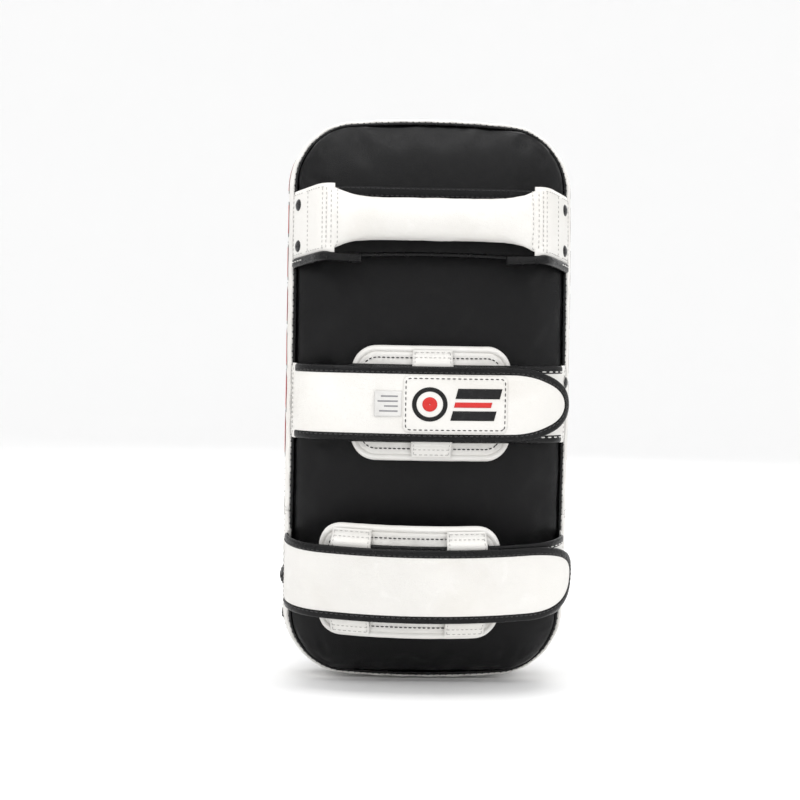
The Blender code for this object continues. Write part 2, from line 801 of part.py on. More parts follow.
def pad_rim(name, arch, centre_s, half_s, half_z, parent):
    """The rolled rim round a forearm pad."""
    stops = 40
    radius = PAD_CORNER

    def place(i, j):
        turn = 8.0 * (i % stops) / stops
        side, share = divmod(turn, 2.0)
        s, t = ((1.0, share - 1.0), (1.0 - share, 1.0), (-1.0, 1.0 - share), (share - 1.0, -1.0))[int(side)]
        drawn = BINDING * (1 - j)
        u, z = rounded(s, t, half_s - drawn, half_z - drawn, radius - drawn)
        return arch.point(centre_s + u, z, -PAD_FACE - PAD_DEEP / 2.0)

    bm = grid(stops, 1, place)
    bmesh.ops.remove_doubles(bm, verts=bm.verts, dist=1e-6)
    face_away(bm, Vector())
    solidify(add(name, bm, WHITE_LEATHER, parent), PAD_DEEP)


def keeper(name, arch, centre_s, half_z, parent):
    """A band sewn to the forearm pad's two long edges, over the inner strap."""
    low, high = -PAD_FACE + GAP + 0.0007, STRAP_EDGE / 2.0 + GAP + 0.0007
    foot, knee = half_z - 0.0030, INNER_HALF + 0.0012
    profile = [(-foot, low), (-foot + 0.0035, low), (-knee, high), (-knee / 2.0, high), (0.0, high)]
    profile += [(-z, offset) for z, offset in reversed(profile[:-1])]
    columns = 4

    def place(i, j):
        z, offset = profile[j]
        return arch.point(centre_s + KEEPER_HALF * (2.0 * i / columns - 1.0), z, offset)

    bm = grid(columns, len(profile) - 1, place)
    face_away(bm, Vector())
    solidify(add(name, bm, WHITE_LEATHER, parent), 0.0014)


def root_tab(name, arch, first, last, offset, half, parent):
    """The sewn-down end of a strap, between two places along it."""
    columns, rows = 3, 2

    def place(i, j):
        return arch.point(first + (last - first) * i / columns, half * (2.0 * j / rows - 1.0), offset)

    bm = grid(columns, rows, place)
    face_away(bm, Vector())
    obj = add(name, bm, WHITE_LEATHER, parent)
    solidify(obj, STRAP_SHEET)
    return obj


def forearm_strap(word, v, arch, pad_s, pad_half, keepers, tape):
    """An outer strap, the inner strap under it, and the pad that rides on the inner strap."""
    place = station(f"{word}_strap_station", v)
    outer_hinge = pivot(f"{word}_strap_hinge", place, arch.point(arch.from_left(HINGE_AT), 0.0, LAYER))
    inner_hinge = pivot(f"{word}_inner_hinge", place, arch.point(arch.from_right(HINGE_AT), 0.0, 0.0))
    slide = pivot(f"{word}_pad_centre", place, (0.0, arch.centre.y, 0.0))
    body = BINDING_WALL + 1.5 * GAP

    root_tab(f"{word}_strap_root", arch, arch.from_left(0.0004), arch.from_left(ROOT_TAB), LAYER,
             OUTER_HALF, place)
    start, tip, taper = arch.from_left(STRAP_START), arch.right_end - TIP_SHORT, 0.044
    centre = tip - taper
    strap_sheet(f"{word}_strap", arch, start, centre, taper - body, OUTER_HALF - body, LAYER,
                STRAP_BODY, WHITE_LEATHER, outer_hinge)
    strap_binding(f"{word}_strap_binding", arch, start, centre, taper, OUTER_HALF, LAYER, outer_hinge)

    root = root_tab(f"{word}_inner_root", arch, arch.from_right(0.0004), arch.from_right(ROOT_TAB), 0.0,
                    INNER_HALF, place)
    start, end, taper = arch.from_right(STRAP_START), -0.0660, -0.010
    strap_sheet(f"{word}_inner_strap", arch, start, end - taper, taper + body, INNER_HALF - body, 0.0,
                STRAP_BODY, WHITE_LEATHER, inner_hinge)
    strap_binding(f"{word}_inner_binding", arch, start, end - taper, taper, INNER_HALF, 0.0, inner_hinge)

    lift = STRAP_BODY / 2.0 + GAP + 0.0005
    middle, half = (tape[0] + tape[1]) / 2.0, (tape[1] - tape[0]) / 2.0
    arch_patch(f"{word}_loop_tape", arch, middle, half, 0.0170, 0.002, lift, 0.0010, LOOP_TAPE, inner_hinge,
               (8, 2))
    arch_patch(f"{word}_hook_tape", arch, middle, half - 0.002, 0.0160, 0.002, LAYER - lift, 0.0010,
               HOOK_TAPE, outer_hinge, (8, 2))

    half_s, half_z = pad_half
    inner = BINDING + 3.0 * GAP
    arch_patch(f"{word}_forearm_pad", arch, pad_s, half_s - inner, half_z - inner, PAD_CORNER - inner,
               -PAD_FACE - PAD_DEEP / 2.0, PAD_DEEP, WHITE_LEATHER, slide, (12, 8))
    pad_rim(f"{word}_pad_rim", arch, pad_s, half_s, half_z, slide)
    for name, shift in keepers:
        keeper(name, arch, pad_s + shift, half_z, slide)
    return place, outer_hinge, root


def straps():
    arch = Arch(0.0725 - LAYER, 0.230, 0.070, 0.078)
    place, hinge, root = forearm_strap(
        "middle", 0.0, arch, 0.0, (0.0575, 0.0400), [("middle_keeper", 0.0)], (0.046, 0.080)
    )
    spot = arch.from_right(0.0050)
    out = arch.normal(spot)
    centre = arch.point(spot, 0.0150, 0.0)
    rivet("middle_strap_rivet", centre + out * (STRAP_SHEET / 2.0), out, STRAP_SHEET + GAP, place)
    drill("strap_hole_cutter", root, [(centre, out)], RIVET_HOLE_RADIUS, 16, place)
    lift = LAYER + STRAP_BODY / 2.0 + GAP
    arch_patch("strap_patch", arch, PATCH_S, *PATCH_HALF, 0.004, lift + 0.0005, 0.0010, WHITE_LEATHER, hinge)
    label_edge = PATCH_S - PATCH_HALF[0] - 0.0010
    flap = pivot("care_label_hinge", place, arch.point(label_edge, 0.0, lift + 0.0003))
    arch_patch("care_label", arch, label_edge - LABEL_SIZE[0] / 2.0, LABEL_SIZE[0] / 2.0, LABEL_SIZE[1],
               0.001, lift + 0.0003, 0.0006, LABEL_CLOTH, flap, (4, 2))

    arch = Arch(0.0900 - LAYER, 0.205, 0.074, 0.070)
    keepers = [("lower_keeper_left", -0.040), ("lower_keeper_right", 0.040)]
    forearm_strap("lower", -0.114, arch, -0.015, (0.0660, 0.0400), keepers, (0.0572, 0.090))


pad_body()
grip()
straps()
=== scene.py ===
import bisect
import math

import bmesh
import bpy
from mathutils import Euler, Matrix, Vector, noise
from mathutils.bvhtree import BVHTree


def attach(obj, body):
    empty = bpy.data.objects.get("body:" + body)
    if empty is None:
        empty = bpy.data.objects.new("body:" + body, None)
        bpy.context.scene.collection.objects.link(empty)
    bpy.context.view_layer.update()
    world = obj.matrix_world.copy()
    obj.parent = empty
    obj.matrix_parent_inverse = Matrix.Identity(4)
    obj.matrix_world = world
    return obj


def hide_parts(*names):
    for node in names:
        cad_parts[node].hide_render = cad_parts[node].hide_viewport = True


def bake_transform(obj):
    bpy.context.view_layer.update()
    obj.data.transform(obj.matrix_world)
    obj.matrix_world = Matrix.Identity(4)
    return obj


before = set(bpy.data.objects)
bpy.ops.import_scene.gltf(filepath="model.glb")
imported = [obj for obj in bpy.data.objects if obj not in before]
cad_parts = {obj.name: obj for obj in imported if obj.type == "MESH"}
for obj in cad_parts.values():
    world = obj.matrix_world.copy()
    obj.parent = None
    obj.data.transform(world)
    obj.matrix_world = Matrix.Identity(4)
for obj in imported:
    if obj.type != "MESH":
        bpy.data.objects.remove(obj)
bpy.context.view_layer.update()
scene = bpy.context.scene

# The shape's sizes, the same as the CAD model's, in metres.
PAD_HALF_WIDTH = 0.100
PAD_HALF_LENGTH = 0.1973
BEND_RADIUS = 0.915
MID_Y = 0.0123
MID_Z = 0.2000
CORNER_RADIUS = 0.042
END_CROWN = 0.008
BAND_HALF = 0.029
BAND_WALL = 0.0022
STRIKE_CROWN, STRIKE_RUN, STRIKE_INSET = 0.023, 0.038, 0.0008
BACK_CROWN, BACK_RUN, BACK_INSET = 0.018, 0.044, 0.0058
COVER_WALL = 0.0016
SEAM_V, SLIT_V = -0.077, -0.121
SLIT_HALF, TONGUE_HALF = 0.0048, 0.0044
LACE_RADIUS, LACE_HOLE_W = 0.0011, 0.009
LACE_BARS, LACE_PITCH, LACE_DOUBLE = 12, 0.026, 0.0046
STRAP_SHEET, STRAP_BODY, STRAP_EDGE, BINDING = 0.0024, 0.0015, 0.0030, 0.0055
OUTER_HALF, INNER_HALF, LAYER = 0.026, 0.027, 0.0064
ROOT = Vector((0.0958, -0.0296))
ROOT_TAB, STRAP_START, TIP_SHORT = 0.0092, 0.0128, 0.0125
PAD_FACE, PAD_DEEP, PAD_CORNER = 0.0020, 0.0076, 0.018
KEEPER_HALF = 0.014
PATCH_HALF, PATCH_S = (0.0352, 0.0195), 0.0155
PATCH_LIFT = LAYER + STRAP_BODY / 2.0 + 0.0009  # on the outer strap's leather
LABEL_SIZE = (0.0180, 0.0088)
GRIP_V, GRIP_Y = 0.118, -0.0710
GRIP_HALF, GRIP_DEPTH, GRIP_HEIGHT = 0.0745, 0.0125, 0.0165
GRIP_END = (0.0026, 0.0236)
TAB_HALF, TAB_CUT_X = 0.024, 0.0885


# ---------------------------------------------------------------- materials
class Shade:
    """A Principled material whose inputs are driven by procedural nodes."""

    def __init__(self, name, roughness, metallic=0.0, sheen=0.0, coat=0.0, specular=0.5):
        self.mat = bpy.data.materials.new(name)
        self.mat.use_nodes = True
        self.tree = self.mat.node_tree
        self.shader = self.tree.nodes["Principled BSDF"]
        for key, value in (("Roughness", roughness), ("Metallic", metallic), ("Sheen Weight", sheen),
                           ("Sheen Roughness", 0.4), ("Coat Weight", coat), ("Specular IOR Level", specular),
                           ("Coat Roughness", 0.35)):
            self.shader.inputs[key].default_value = value
        self.where = self.tree.nodes.new("ShaderNodeTexCoord").outputs["Object"]
        self.height = None

    def link(self, source, target):
        self.tree.links.new(source, target)

    def set(self, socket, value):
        if isinstance(value, (int, float)):
            socket.default_value = value
        elif isinstance(value, tuple):
            socket.default_value = (*value, 1.0)
        else:
            self.link(value, socket)

    def node(self, kind, vector=None, **inputs):
        """A new node that reads the object's own coordinates, or vector."""
        node = self.tree.nodes.new("ShaderNode" + kind)
        self.link(vector or self.where, node.inputs["Vector"])
        for key, value in inputs.items():
            node.inputs[key].default_value = value
        return node

    def stretch(self, scale):
        return self.node("Mapping", Scale=scale).outputs["Vector"]

    def noise(self, scale, detail=3.0, vector=None, distortion=0.0):
        node = self.node("TexNoise", vector, Scale=scale, Detail=detail, Distortion=distortion)
        return node.outputs["Fac"]

    def cells(self, scale, feature="F1"):
        node = self.node("TexVoronoi", Scale=scale)
        node.feature = feature
        return node.outputs["Distance"]

    def wave(self, scale, direction="X", vector=None, distortion=0.0):
        node = self.node("TexWave", vector, Scale=scale, Distortion=distortion, Detail=2.0)
        node.bands_direction = direction
        return node.outputs["Fac"]

    def between(self, value, low, high, to_low, to_high):
        node = self.tree.nodes.new("ShaderNodeMapRange")
        self.set(node.inputs["Value"], value)
        for key, number in zip(("From Min", "From Max", "To Min", "To Max"), (low, high, to_low, to_high)):
            node.inputs[key].default_value = number
        return node.outputs["Result"]

    def maths(self, kind, a, b):
        node = self.tree.nodes.new("ShaderNodeMath")
        node.operation = kind
        self.set(node.inputs[0], a)
        self.set(node.inputs[1], b)
        return node.outputs["Value"]

    def mix(self, share, a, b):
        node = self.tree.nodes.new("ShaderNodeMix")
        node.data_type = "RGBA"
        self.set(node.inputs["Factor"], share)
        self.set(node.inputs["A"], a)
        self.set(node.inputs["B"], b)
        return node.outputs["Result"]

    def bump(self, height, distance, strength=1.0):
        node = self.tree.nodes.new("ShaderNodeBump")
        node.inputs["Distance"].default_value = distance
        node.inputs["Strength"].default_value = strength
        self.link(height, node.inputs["Height"])
        if self.height is not None:
            self.link(self.height, node.inputs["Normal"])
        self.height = node.outputs["Normal"]
        self.link(self.height, self.shader.inputs["Normal"])

    def color(self, value):
        self.set(self.shader.inputs["Base Color"], value)

    def roughness(self, value):
        self.set(self.shader.inputs["Roughness"], value)


def scaled(color, factor):
    return tuple(min(1.0, c * factor) for c in color)


def leather(name, color, roughness, worn, grain=1150.0, depth=0.00011, stain=0.0, specular=0.5):
    """Coated leather: pebble grain, fine creases, uneven gloss, scuffs and, on white, a little grime."""
    shade = Shade(name, roughness, specular=specular)
    broad = shade.noise(9.0, 4.0)
    fine = shade.noise(70.0, 5.0)
    base = shade.mix(shade.between(broad, 0.3, 0.7, 0.0, 1.0), scaled(color, 0.90), scaled(color, 1.05))
    scuff = shade.between(shade.noise(46.0, 9.0, distortion=0.8), 0.60, 0.74, 0.0, 0.5)
    base = shade.mix(scuff, base, worn)
    if stain:
        grime = shade.between(shade.noise(16.0, 6.0, distortion=0.5), 0.52, 0.8, 0.0, stain)
        base = shade.mix(grime, base, (color[0] * 0.70, color[1] * 0.65, color[2] * 0.58))
    shade.color(base)
    shade.roughness(shade.between(fine, 0.25, 0.75, roughness - 0.08, roughness + 0.10))
    pebble = shade.cells(grain, "SMOOTH_F1")
    ridge = shade.between(shade.cells(grain * 0.8, "DISTANCE_TO_EDGE"), 0.0, 0.22, 0.0, 1.0)
    shade.bump(shade.noise(55.0, 3.0), 0.0007, 0.35)
    shade.bump(shade.maths("ADD", shade.maths("MULTIPLY", pebble, -0.5), ridge), depth, 0.8)
    return shade.mat


def cloth(name, color, roughness, pitch, depth, sheen=0.3, fuzz=0.0):
    """A plain weave of threads pitch apart; fuzz adds the pile of loop tape or felted foam."""
    shade = Shade(name, roughness, sheen=sheen)
    scale = math.pi / (10.0 * pitch)
    warp, weft = shade.wave(scale, "X", distortion=0.6), shade.wave(scale, "Z", distortion=0.6)
    tone = shade.noise(30.0, 5.0)
    weave = shade.maths("MULTIPLY", warp, weft)
    base = shade.mix(shade.between(tone, 0.3, 0.7, 0.0, 1.0), scaled(color, 0.82), scaled(color, 1.1))
    shade.color(shade.mix(shade.between(weave, 0.0, 1.0, 0.35, 0.0), base, scaled(color, 0.55)))
    shade.bump(weave, depth, 0.9)
    if fuzz:
        shade.bump(shade.noise(2600.0, 3.0), fuzz, 0.9)
    return shade.mat


def hooks(name, color, pitch):
    """Hook tape: rows of small stiff hooks over a woven ground."""
    shade = Shade(name, 0.55)
    dots = shade.between(shade.cells(1.0 / pitch), 0.0, 0.5, 1.0, 0.0)
    shade.color(shade.mix(dots, scaled(color, 0.5), scaled(color, 2.2)))
    shade.bump(dots, 0.0006, 1.0)
    return shade.mat


def thread(name, color):
    shade = Shade(name, 0.6, sheen=0.2)
    twist = shade.wave(420.0, "DIAGONAL", distortion=1.0)
    shade.color(shade.mix(twist, scaled(color, 0.72), scaled(color, 1.08)))
    shade.bump(twist, 0.00008, 0.8)
    return shade.mat


def cord_braid(name, color):
    """Flat braid: two families of slanted strands."""
    shade = Shade(name, 0.75, sheen=0.4)
    one = shade.wave(330.0, "DIAGONAL", vector=shade.stretch((1.0, 1.0, 1.0)))
    two = shade.wave(330.0, "DIAGONAL", vector=shade.stretch((-1.0, 1.0, 1.0)))
    strands = shade.maths("MAXIMUM", one, two)
    shade.color(shade.mix(strands, scaled(color, 0.5), scaled(color, 1.5)))
    shade.bump(strands, 0.0003, 0.9)
    return shade.mat


def lacquer(name, color):
    """Painted metal with fine scratches and a chip or two."""
    shade = Shade(name, 0.25, metallic=0.6, coat=0.3)
    scratch = shade.noise(900.0, 4.0, vector=shade.stretch((1.0, 0.12, 1.0)))
    chip = shade.between(shade.noise(420.0, 6.0), 0.68, 0.72, 0.0, 0.7)
    shade.color(shade.mix(chip, color, (0.30, 0.29, 0.28)))
    shade.roughness(shade.between(scratch, 0.3, 0.7, 0.18, 0.42))
    shade.bump(scratch, 0.00003, 0.5)
    return shade.mat


def foam(name, color):
    shade = Shade(name, 0.9, sheen=0.2)
    pores = shade.cells(900.0)
    shade.color(shade.mix(pores, scaled(color, 1.05), scaled(color, 0.7)))
    shade.bump(pores, 0.0004, 0.9)
    return shade.mat


BLACK = leather("black_pu", (0.0034, 0.0034, 0.0038), 0.36, (0.0065, 0.0065, 0.0065), specular=0.17)
WHITE = leather("white_pu", (0.78, 0.765, 0.735), 0.44, (0.84, 0.83, 0.81), grain=1000.0, stain=0.30)
EDGE = leather("edging_pu", (0.0026, 0.0026, 0.0030), 0.26, (0.008, 0.008, 0.008), grain=1500.0,
               depth=0.00006, specular=0.22)
RED = leather("red_print", (0.60, 0.012, 0.008), 0.42, (0.66, 0.05, 0.04), grain=1000.0)
INK = leather("black_print", (0.0065, 0.0065, 0.0070), 0.42, (0.05, 0.05, 0.05), grain=1000.0, specular=0.25)
PRINT_WHITE = leather("white_print", (0.84, 0.84, 0.83), 0.42, (0.70, 0.70, 0.69))
WHITE_THREAD = thread("white_thread", (0.84, 0.83, 0.80))
BLACK_THREAD = thread("black_thread", (0.018, 0.018, 0.019))
GREY_THREAD = thread("grey_thread", (0.50, 0.49, 0.47))
TONGUE = cloth("tongue_mesh", (0.020, 0.020, 0.021), 0.75, 0.0009, 0.00025)
LACE = cord_braid("lace_braid", (0.020, 0.020, 0.021))
LABEL = cloth("label_satin", (0.78, 0.77, 0.75), 0.5, 0.00028, 0.00005)
LABEL_INK = cloth("label_ink", (0.30, 0.30, 0.31), 0.6, 0.00028, 0.00005)
LOOPS = cloth("loop_tape_pile", (0.020, 0.020, 0.021), 0.95, 0.0011, 0.0002, sheen=0.5, fuzz=0.0005)
HOOKS = hooks("hook_tape_hooks", (0.022, 0.022, 0.023), 0.0013)
RIVET = lacquer("rivet_lacquer", (0.013, 0.013, 0.014))
FOAM = foam("foam_cells", (0.55, 0.57, 0.60))

SIDES = (("left", -1.0), ("right", 1.0))

for names, mat in (
    (("foam_core", "foam_strike_layer", "foam_back_layer", "grip_core"), FOAM),
    (("middle_loop_tape", "lower_loop_tape"), LOOPS),
    (("middle_hook_tape", "lower_hook_tape"), HOOKS),
    ([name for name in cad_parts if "rivet" in name], RIVET),
):
    for name in names:
        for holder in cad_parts[name].material_slots:
            holder.material = mat


# ---------------------------------------------------------------- the pad's own coordinates
def bent(u, v, w):
    """The point u across, v along the bend and w toward the strike face."""
    phi = v / BEND_RADIUS
    reach = BEND_RADIUS - w
    return Vector((u, MID_Y + BEND_RADIUS - reach * math.cos(phi), MID_Z + reach * math.sin(phi)))


def station(v):
    """The frame on the pad's middle surface at v, whose Y axis points toward the strike face."""
    return Matrix.Translation(bent(0.0, v, 0.0)) @ Euler((-v / BEND_RADIUS, 0.0, 0.0)).to_matrix().to_4x4()


def spread(x):
    return x * (1.3 - 0.3 * x * x)


def rounded(s, t, half_u, half_v, radius):
    """The square's point (s, t) on a rounded rectangle, ring by ring."""
    ring = max(abs(s), abs(t))
    if ring < 1e-9:
        return 0.0, 0.0
    u, v = half_u * s / ring, half_v * t / ring
    over_u, over_v = abs(u) - (half_u - radius), abs(v) - (half_v - radius)
    if over_u > 0.0 and over_v > 0.0:
        share = over_v / radius if abs(s) >= abs(t) else 2.0 - over_u / radius
        angle = share * math.pi / 4.0
        u = math.copysign(half_u - radius + radius * math.cos(angle), u)
        v = math.copysign(half_v - radius + radius * math.sin(angle), v)
    return ring * u, ring * v


def depth_inside(u, v, half_u, half_v, radius):
    over_u, over_v = abs(u) - (half_u - radius), abs(v) - (half_v - radius)
    outside = math.hypot(max(over_u, 0.0), max(over_v, 0.0))
    return radius - outside - min(max(over_u, over_v), 0.0)


def crowned(u, v):
    return u, v * (1.0 + END_CROWN / PAD_HALF_LENGTH * (1.0 - (u / PAD_HALF_WIDTH) ** 2))


def pad_shape(inset):
    return PAD_HALF_WIDTH - inset, PAD_HALF_LENGTH - END_CROWN - inset, CORNER_RADIUS - inset


def side_point(s, t, out):
    half_u, half_v, radius = pad_shape(0.0)
    u, v = rounded(s, t, half_u, half_v, radius)
    core_u = max(-(half_u - radius), min(half_u - radius, u))
    core_v = max(-(half_v - radius), min(half_v - radius, v))
    normal = Vector((u - core_u, v - core_v)).normalized()
    u, v = crowned(u, v)
    return u + out * normal.x, v + out * normal.y


def dome(u, v, inset, crown, run):
    half_u, half_v, radius = pad_shape(inset)
    share = min(max(depth_inside(u, v, half_u, half_v, radius), 0.0) / run, 1.0)
    fall = 1.0 - 0.22 * (v / PAD_HALF_LENGTH) ** 2
    return crown * fall * math.sqrt(1.0 - (1.0 - share) ** 2)


def square(q):
    """The square's outline from the laced end's middle (0) by the +X side to the top's middle (4)."""
    if q < 1.0:
        return q, -1.0
    if q < 3.0:
        return 1.0, q - 2.0
    return 4.0 - q, 1.0


OUTLINE_STEPS = 3000
OUTLINE = []
LENGTHS = []
for step in range(OUTLINE_STEPS + 1):
    q = 4.0 * step / OUTLINE_STEPS
    here = Vector(side_point(*square(q), 0.0))
    LENGTHS.append(LENGTHS[-1] + (here - OUTLINE[-1][0]).length if OUTLINE else 0.0)
    OUTLINE.append((here, (Vector(side_point(*square(q), 0.001)) - here).normalized()))
HALF_ROUND = LENGTHS[-1]


def rim(distance, out):
    """The outline's (u, v) at a signed distance from the laced end's middle toward +X."""
    distance = (distance + HALF_ROUND) % (2.0 * HALF_ROUND) - HALF_ROUND
    k = min(max(bisect.bisect_right(LENGTHS, abs(distance)) - 1, 0), OUTLINE_STEPS - 1)
    share = (abs(distance) - LENGTHS[k]) / max(LENGTHS[k + 1] - LENGTHS[k], 1e-9)
    (a, na), (b, nb) = OUTLINE[k], OUTLINE[k + 1]
    point = a.lerp(b, share) + na.lerp(nb, share).normalized() * out
    return math.copysign(point.x, distance) if distance else 0.0, point.y


def around(distance, w, out):
    return bent(*rim(distance, out), w)


def outside(distance, w, out=0.0):
    """The direction straight out of the pad's side."""
    return (around(distance, w, out + 0.01) - around(distance, w, out)).normalized()


def length_at(v):
    """The distance along the +X side at which the outline passes v."""
    return next(length for length, (point, _) in zip(LENGTHS, OUTLINE) if point.y > v)


def round_distance(s, t):
    """The signed distance round the outline of the square's point (s, t)."""
    ring = max(abs(s), abs(t), 1e-9)
    s, t = s / ring, t / ring
    if abs(s) >= 1.0 - 1e-9:
        q = 2.0 + t
    else:
        q = abs(s) if t < 0.0 else 4.0 - abs(s)
    return math.copysign(LENGTHS[min(int(q / 4.0 * OUTLINE_STEPS), OUTLINE_STEPS)], s)


SEAM_D, SLIT_D = length_at(SEAM_V), length_at(SLIT_V)


# ---------------------------------------------------------------- mesh helpers
def piece(name, verts, faces, mat):
    mesh = bpy.data.meshes.new(name)
    mesh.from_pydata([tuple(v) for v in verts], [], faces)
    mesh.update()
    mesh.materials.append(mat)
    mesh.shade_smooth()
    obj = bpy.data.objects.new(name, mesh)
    scene.collection.objects.link(obj)
    return obj


def join(obj, body, *nodes):
    """The piece moves with body and takes the place of the CAD nodes."""
    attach(obj, body)
    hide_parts(*nodes)


def across(count):
    """Even steps from -1 to 1."""
    return [2.0 * k / count - 1.0 for k in range(count + 1)]


def circle(count):
    """The cosine and sine of even steps round a circle."""
    return [(math.cos(2.0 * math.pi * n / count), math.sin(2.0 * math.pi * n / count)) for n in range(count)]


def square_walk(count):
    """Even steps round the edge of the square, back to the first."""
    for k in range(count + 1):
        side, share = divmod((8.0 * k / count) % 8.0, 2.0)
        yield ((1.0, share - 1.0), (1.0 - share, 1.0), (-1.0, 1.0 - share), (share - 1.0, -1.0))[int(side)]


def grid_faces(columns, rows, start=0, wrap=False, flip=False):
    """Faces over (columns + 1) by (rows + 1) points, or columns by (rows + 1) if it wraps round."""
    across = columns if wrap else columns + 1
    faces = []
    for j in range(rows):
        for i in range(columns):
            a, b = i, (i + 1) % across
            quad = [start + j * across + a, start + j * across + b,
                    start + (j + 1) * across + b, start + (j + 1) * across + a]
            faces.append(quad[::-1] if flip else quad)
    return faces


def tube_faces(sides, stops, start=0):
    """Faces round and over both ends of a tube of stops rings."""
    last = start + (stops - 1) * sides
    caps = [[start + n for n in range(sides)][::-1], [last + n for n in range(sides)]]
    return grid_faces(sides, stops - 1, start, wrap=True) + caps


def grid_normals(points, columns, rows):
    """The surface's normal at each grid point, from its neighbours."""
    normals = []
    for j in range(rows + 1):
        for i in range(columns + 1):
            left = points[j * (columns + 1) + max(i - 1, 0)]
            right = points[j * (columns + 1) + min(i + 1, columns)]
            low = points[max(j - 1, 0) * (columns + 1) + i]
            high = points[min(j + 1, rows) * (columns + 1) + i]
            normals.append((right - left).cross(high - low).normalized())
    return normals


def slab(name, columns, rows, place, thickness, mat, away=None, crown=0.0):
    """A sheet with rounded edges. away is a point on the side its normals turn from."""
    points = [place(i, j) for j in range(rows + 1) for i in range(columns + 1)]
    normals = grid_normals(points, columns, rows)
    flip = away is not None and sum((p - away).dot(n) for p, n in zip(points, normals)) < 0.0
    if flip:
        normals = [-n for n in normals]
    verts = []
    for side in (1.0, -1.0):
        for k, (p, n) in enumerate(zip(points, normals)):
            i, j = k % (columns + 1), k // (columns + 1)
            near = min(i, columns - i, j, rows - j)
            half = thickness / 2.0 * (0.5 if near == 0 else 1.0)
            x, y = 2.0 * i / columns - 1.0, 2.0 * j / rows - 1.0
            verts.append(p + n * (side * (half + crown * (1.0 - x ** 4) * (1.0 - y ** 4))))
    count = len(points)
    faces = grid_faces(columns, rows, 0, flip=flip) + grid_faces(columns, rows, count, flip=not flip)
    border = list(range(columns))
    border += [j * (columns + 1) + columns for j in range(rows)]
    border += [rows * (columns + 1) + columns - i for i in range(columns)]
    border += [(rows - j) * (columns + 1) for j in range(rows)]
    for a, b in zip(border, border[1:] + border[:1]):
        quad = [a, a + count, b + count, b]
        faces.append(quad[::-1] if flip else quad)
    return piece(name, verts, faces, mat)


def outward(obj):
    """Points the faces of a closed mesh out of it."""
    bm = bmesh.new()
    bm.from_mesh(obj.data)
    bmesh.ops.recalc_face_normals(bm, faces=bm.faces)
    if bm.calc_volume(signed=True) < 0.0:
        bmesh.ops.reverse_faces(bm, faces=bm.faces)
    bm.to_mesh(obj.data)
    bm.free()


def tube(name, points, radius, mat, closed=False, sides=10):
    """A round cord through points, with a frame carried along it."""
    count = len(points)
    verts = []
    normal = Vector((0.0, 0.0, 1.0))
    for k, point in enumerate(points):
        before = points[k - 1] if k or closed else point
        after = points[(k + 1) % count] if k + 1 < count or closed else point
        along = (after - before).normalized()
        normal = normal - along * normal.dot(along)
        if normal.length < 1e-6:
            normal = along.orthogonal()
        normal.normalize()
        other = along.cross(normal)
        verts += [point + (normal * c + other * s) * radius for c, s in circle(sides)]
    if closed:
        last = (count - 1) * sides
        best = min(range(sides), key=lambda k: (verts[last] - verts[k]).length)
        faces = grid_faces(sides, count - 1, wrap=True)
        faces += [[last + i, last + (i + 1) % sides, (best + i + 1) % sides, (best + i) % sides]
                  for i in range(sides)]
    else:
        faces = tube_faces(sides, count)
    obj = piece(name, verts, faces, mat)
    outward(obj)
    return obj


def smooth_path(points, per=6):
    """Catmull-Rom through points."""
    result = []
    for k in range(len(points) - 1):
        p0, p1 = points[max(k - 1, 0)], points[k]
        p2, p3 = points[k + 1], points[min(k + 2, len(points) - 1)]
        for n in range(per):
            t = n / per
            result.append(
                0.5 * ((2.0 * p1) + (p2 - p0) * t + (2.0 * p0 - 5.0 * p1 + 4.0 * p2 - p3) * t * t
                       + (3.0 * p1 - p0 - 3.0 * p2 + p3) * t ** 3)
            )
    result.append(points[-1])
    return result


def surface(obj):
    """What a ray from outside meets on the piece: probe(point, normal, lift) gives (point, normal)."""
    graph = bpy.context.evaluated_depsgraph_get()
    tree = BVHTree.FromObject(obj, graph)

    def probe(point, normal, lift=0.0):
        normal = normal.normalized()
        hit, facing, _, _ = tree.ray_cast(point + normal * 0.02, -normal, 0.05)
        if hit is None:
            hit, facing, _, _ = tree.find_nearest(point)
        if facing.dot(normal) < 0.0:
            facing = -facing
        return hit + facing * lift, facing

    return probe


def stitches(name, runs, mat, body, length=0.0026, gap=0.0013, radius=0.00038):
    """Sewing: each run is a list of (point, normal) along a surface, and each stitch a bowed thread."""
    verts, faces = [], []
    sides, rings = 6, 5
    for run in runs:
        marks = [0.0]
        for (a, _), (b, _) in zip(run, run[1:]):
            marks.append(marks[-1] + (b - a).length)

        def at(distance):
            k = min(max(bisect.bisect_right(marks, distance) - 1, 0), len(run) - 2)
            share = (distance - marks[k]) / max(marks[k + 1] - marks[k], 1e-9)
            (a, na), (b, nb) = run[k], run[k + 1]
            return a.lerp(b, share), na.lerp(nb, share).normalized(), (b - a).normalized()

        count = max(int((marks[-1] + gap) / (length + gap)), 1)
        pitch = (marks[-1] + gap) / count
        for n in range(count):
            base = len(verts)
            for r in range(rings):
                share = r / (rings - 1.0)
                point, normal, along = at(n * pitch + (pitch - gap) * share)
                lift = radius * (1.1 * math.sin(math.pi * share) ** 0.6 - 0.45)
                other = along.cross(normal).normalized()
                size = radius * (0.55 if r in (0, rings - 1) else 1.0)
                verts += [point + normal * (lift + size * s) + other * size * c for c, s in circle(sides)]
            faces += tube_faces(sides, rings, base)
    obj = piece(name, verts, faces, mat)
    outward(obj)
    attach(obj, body)


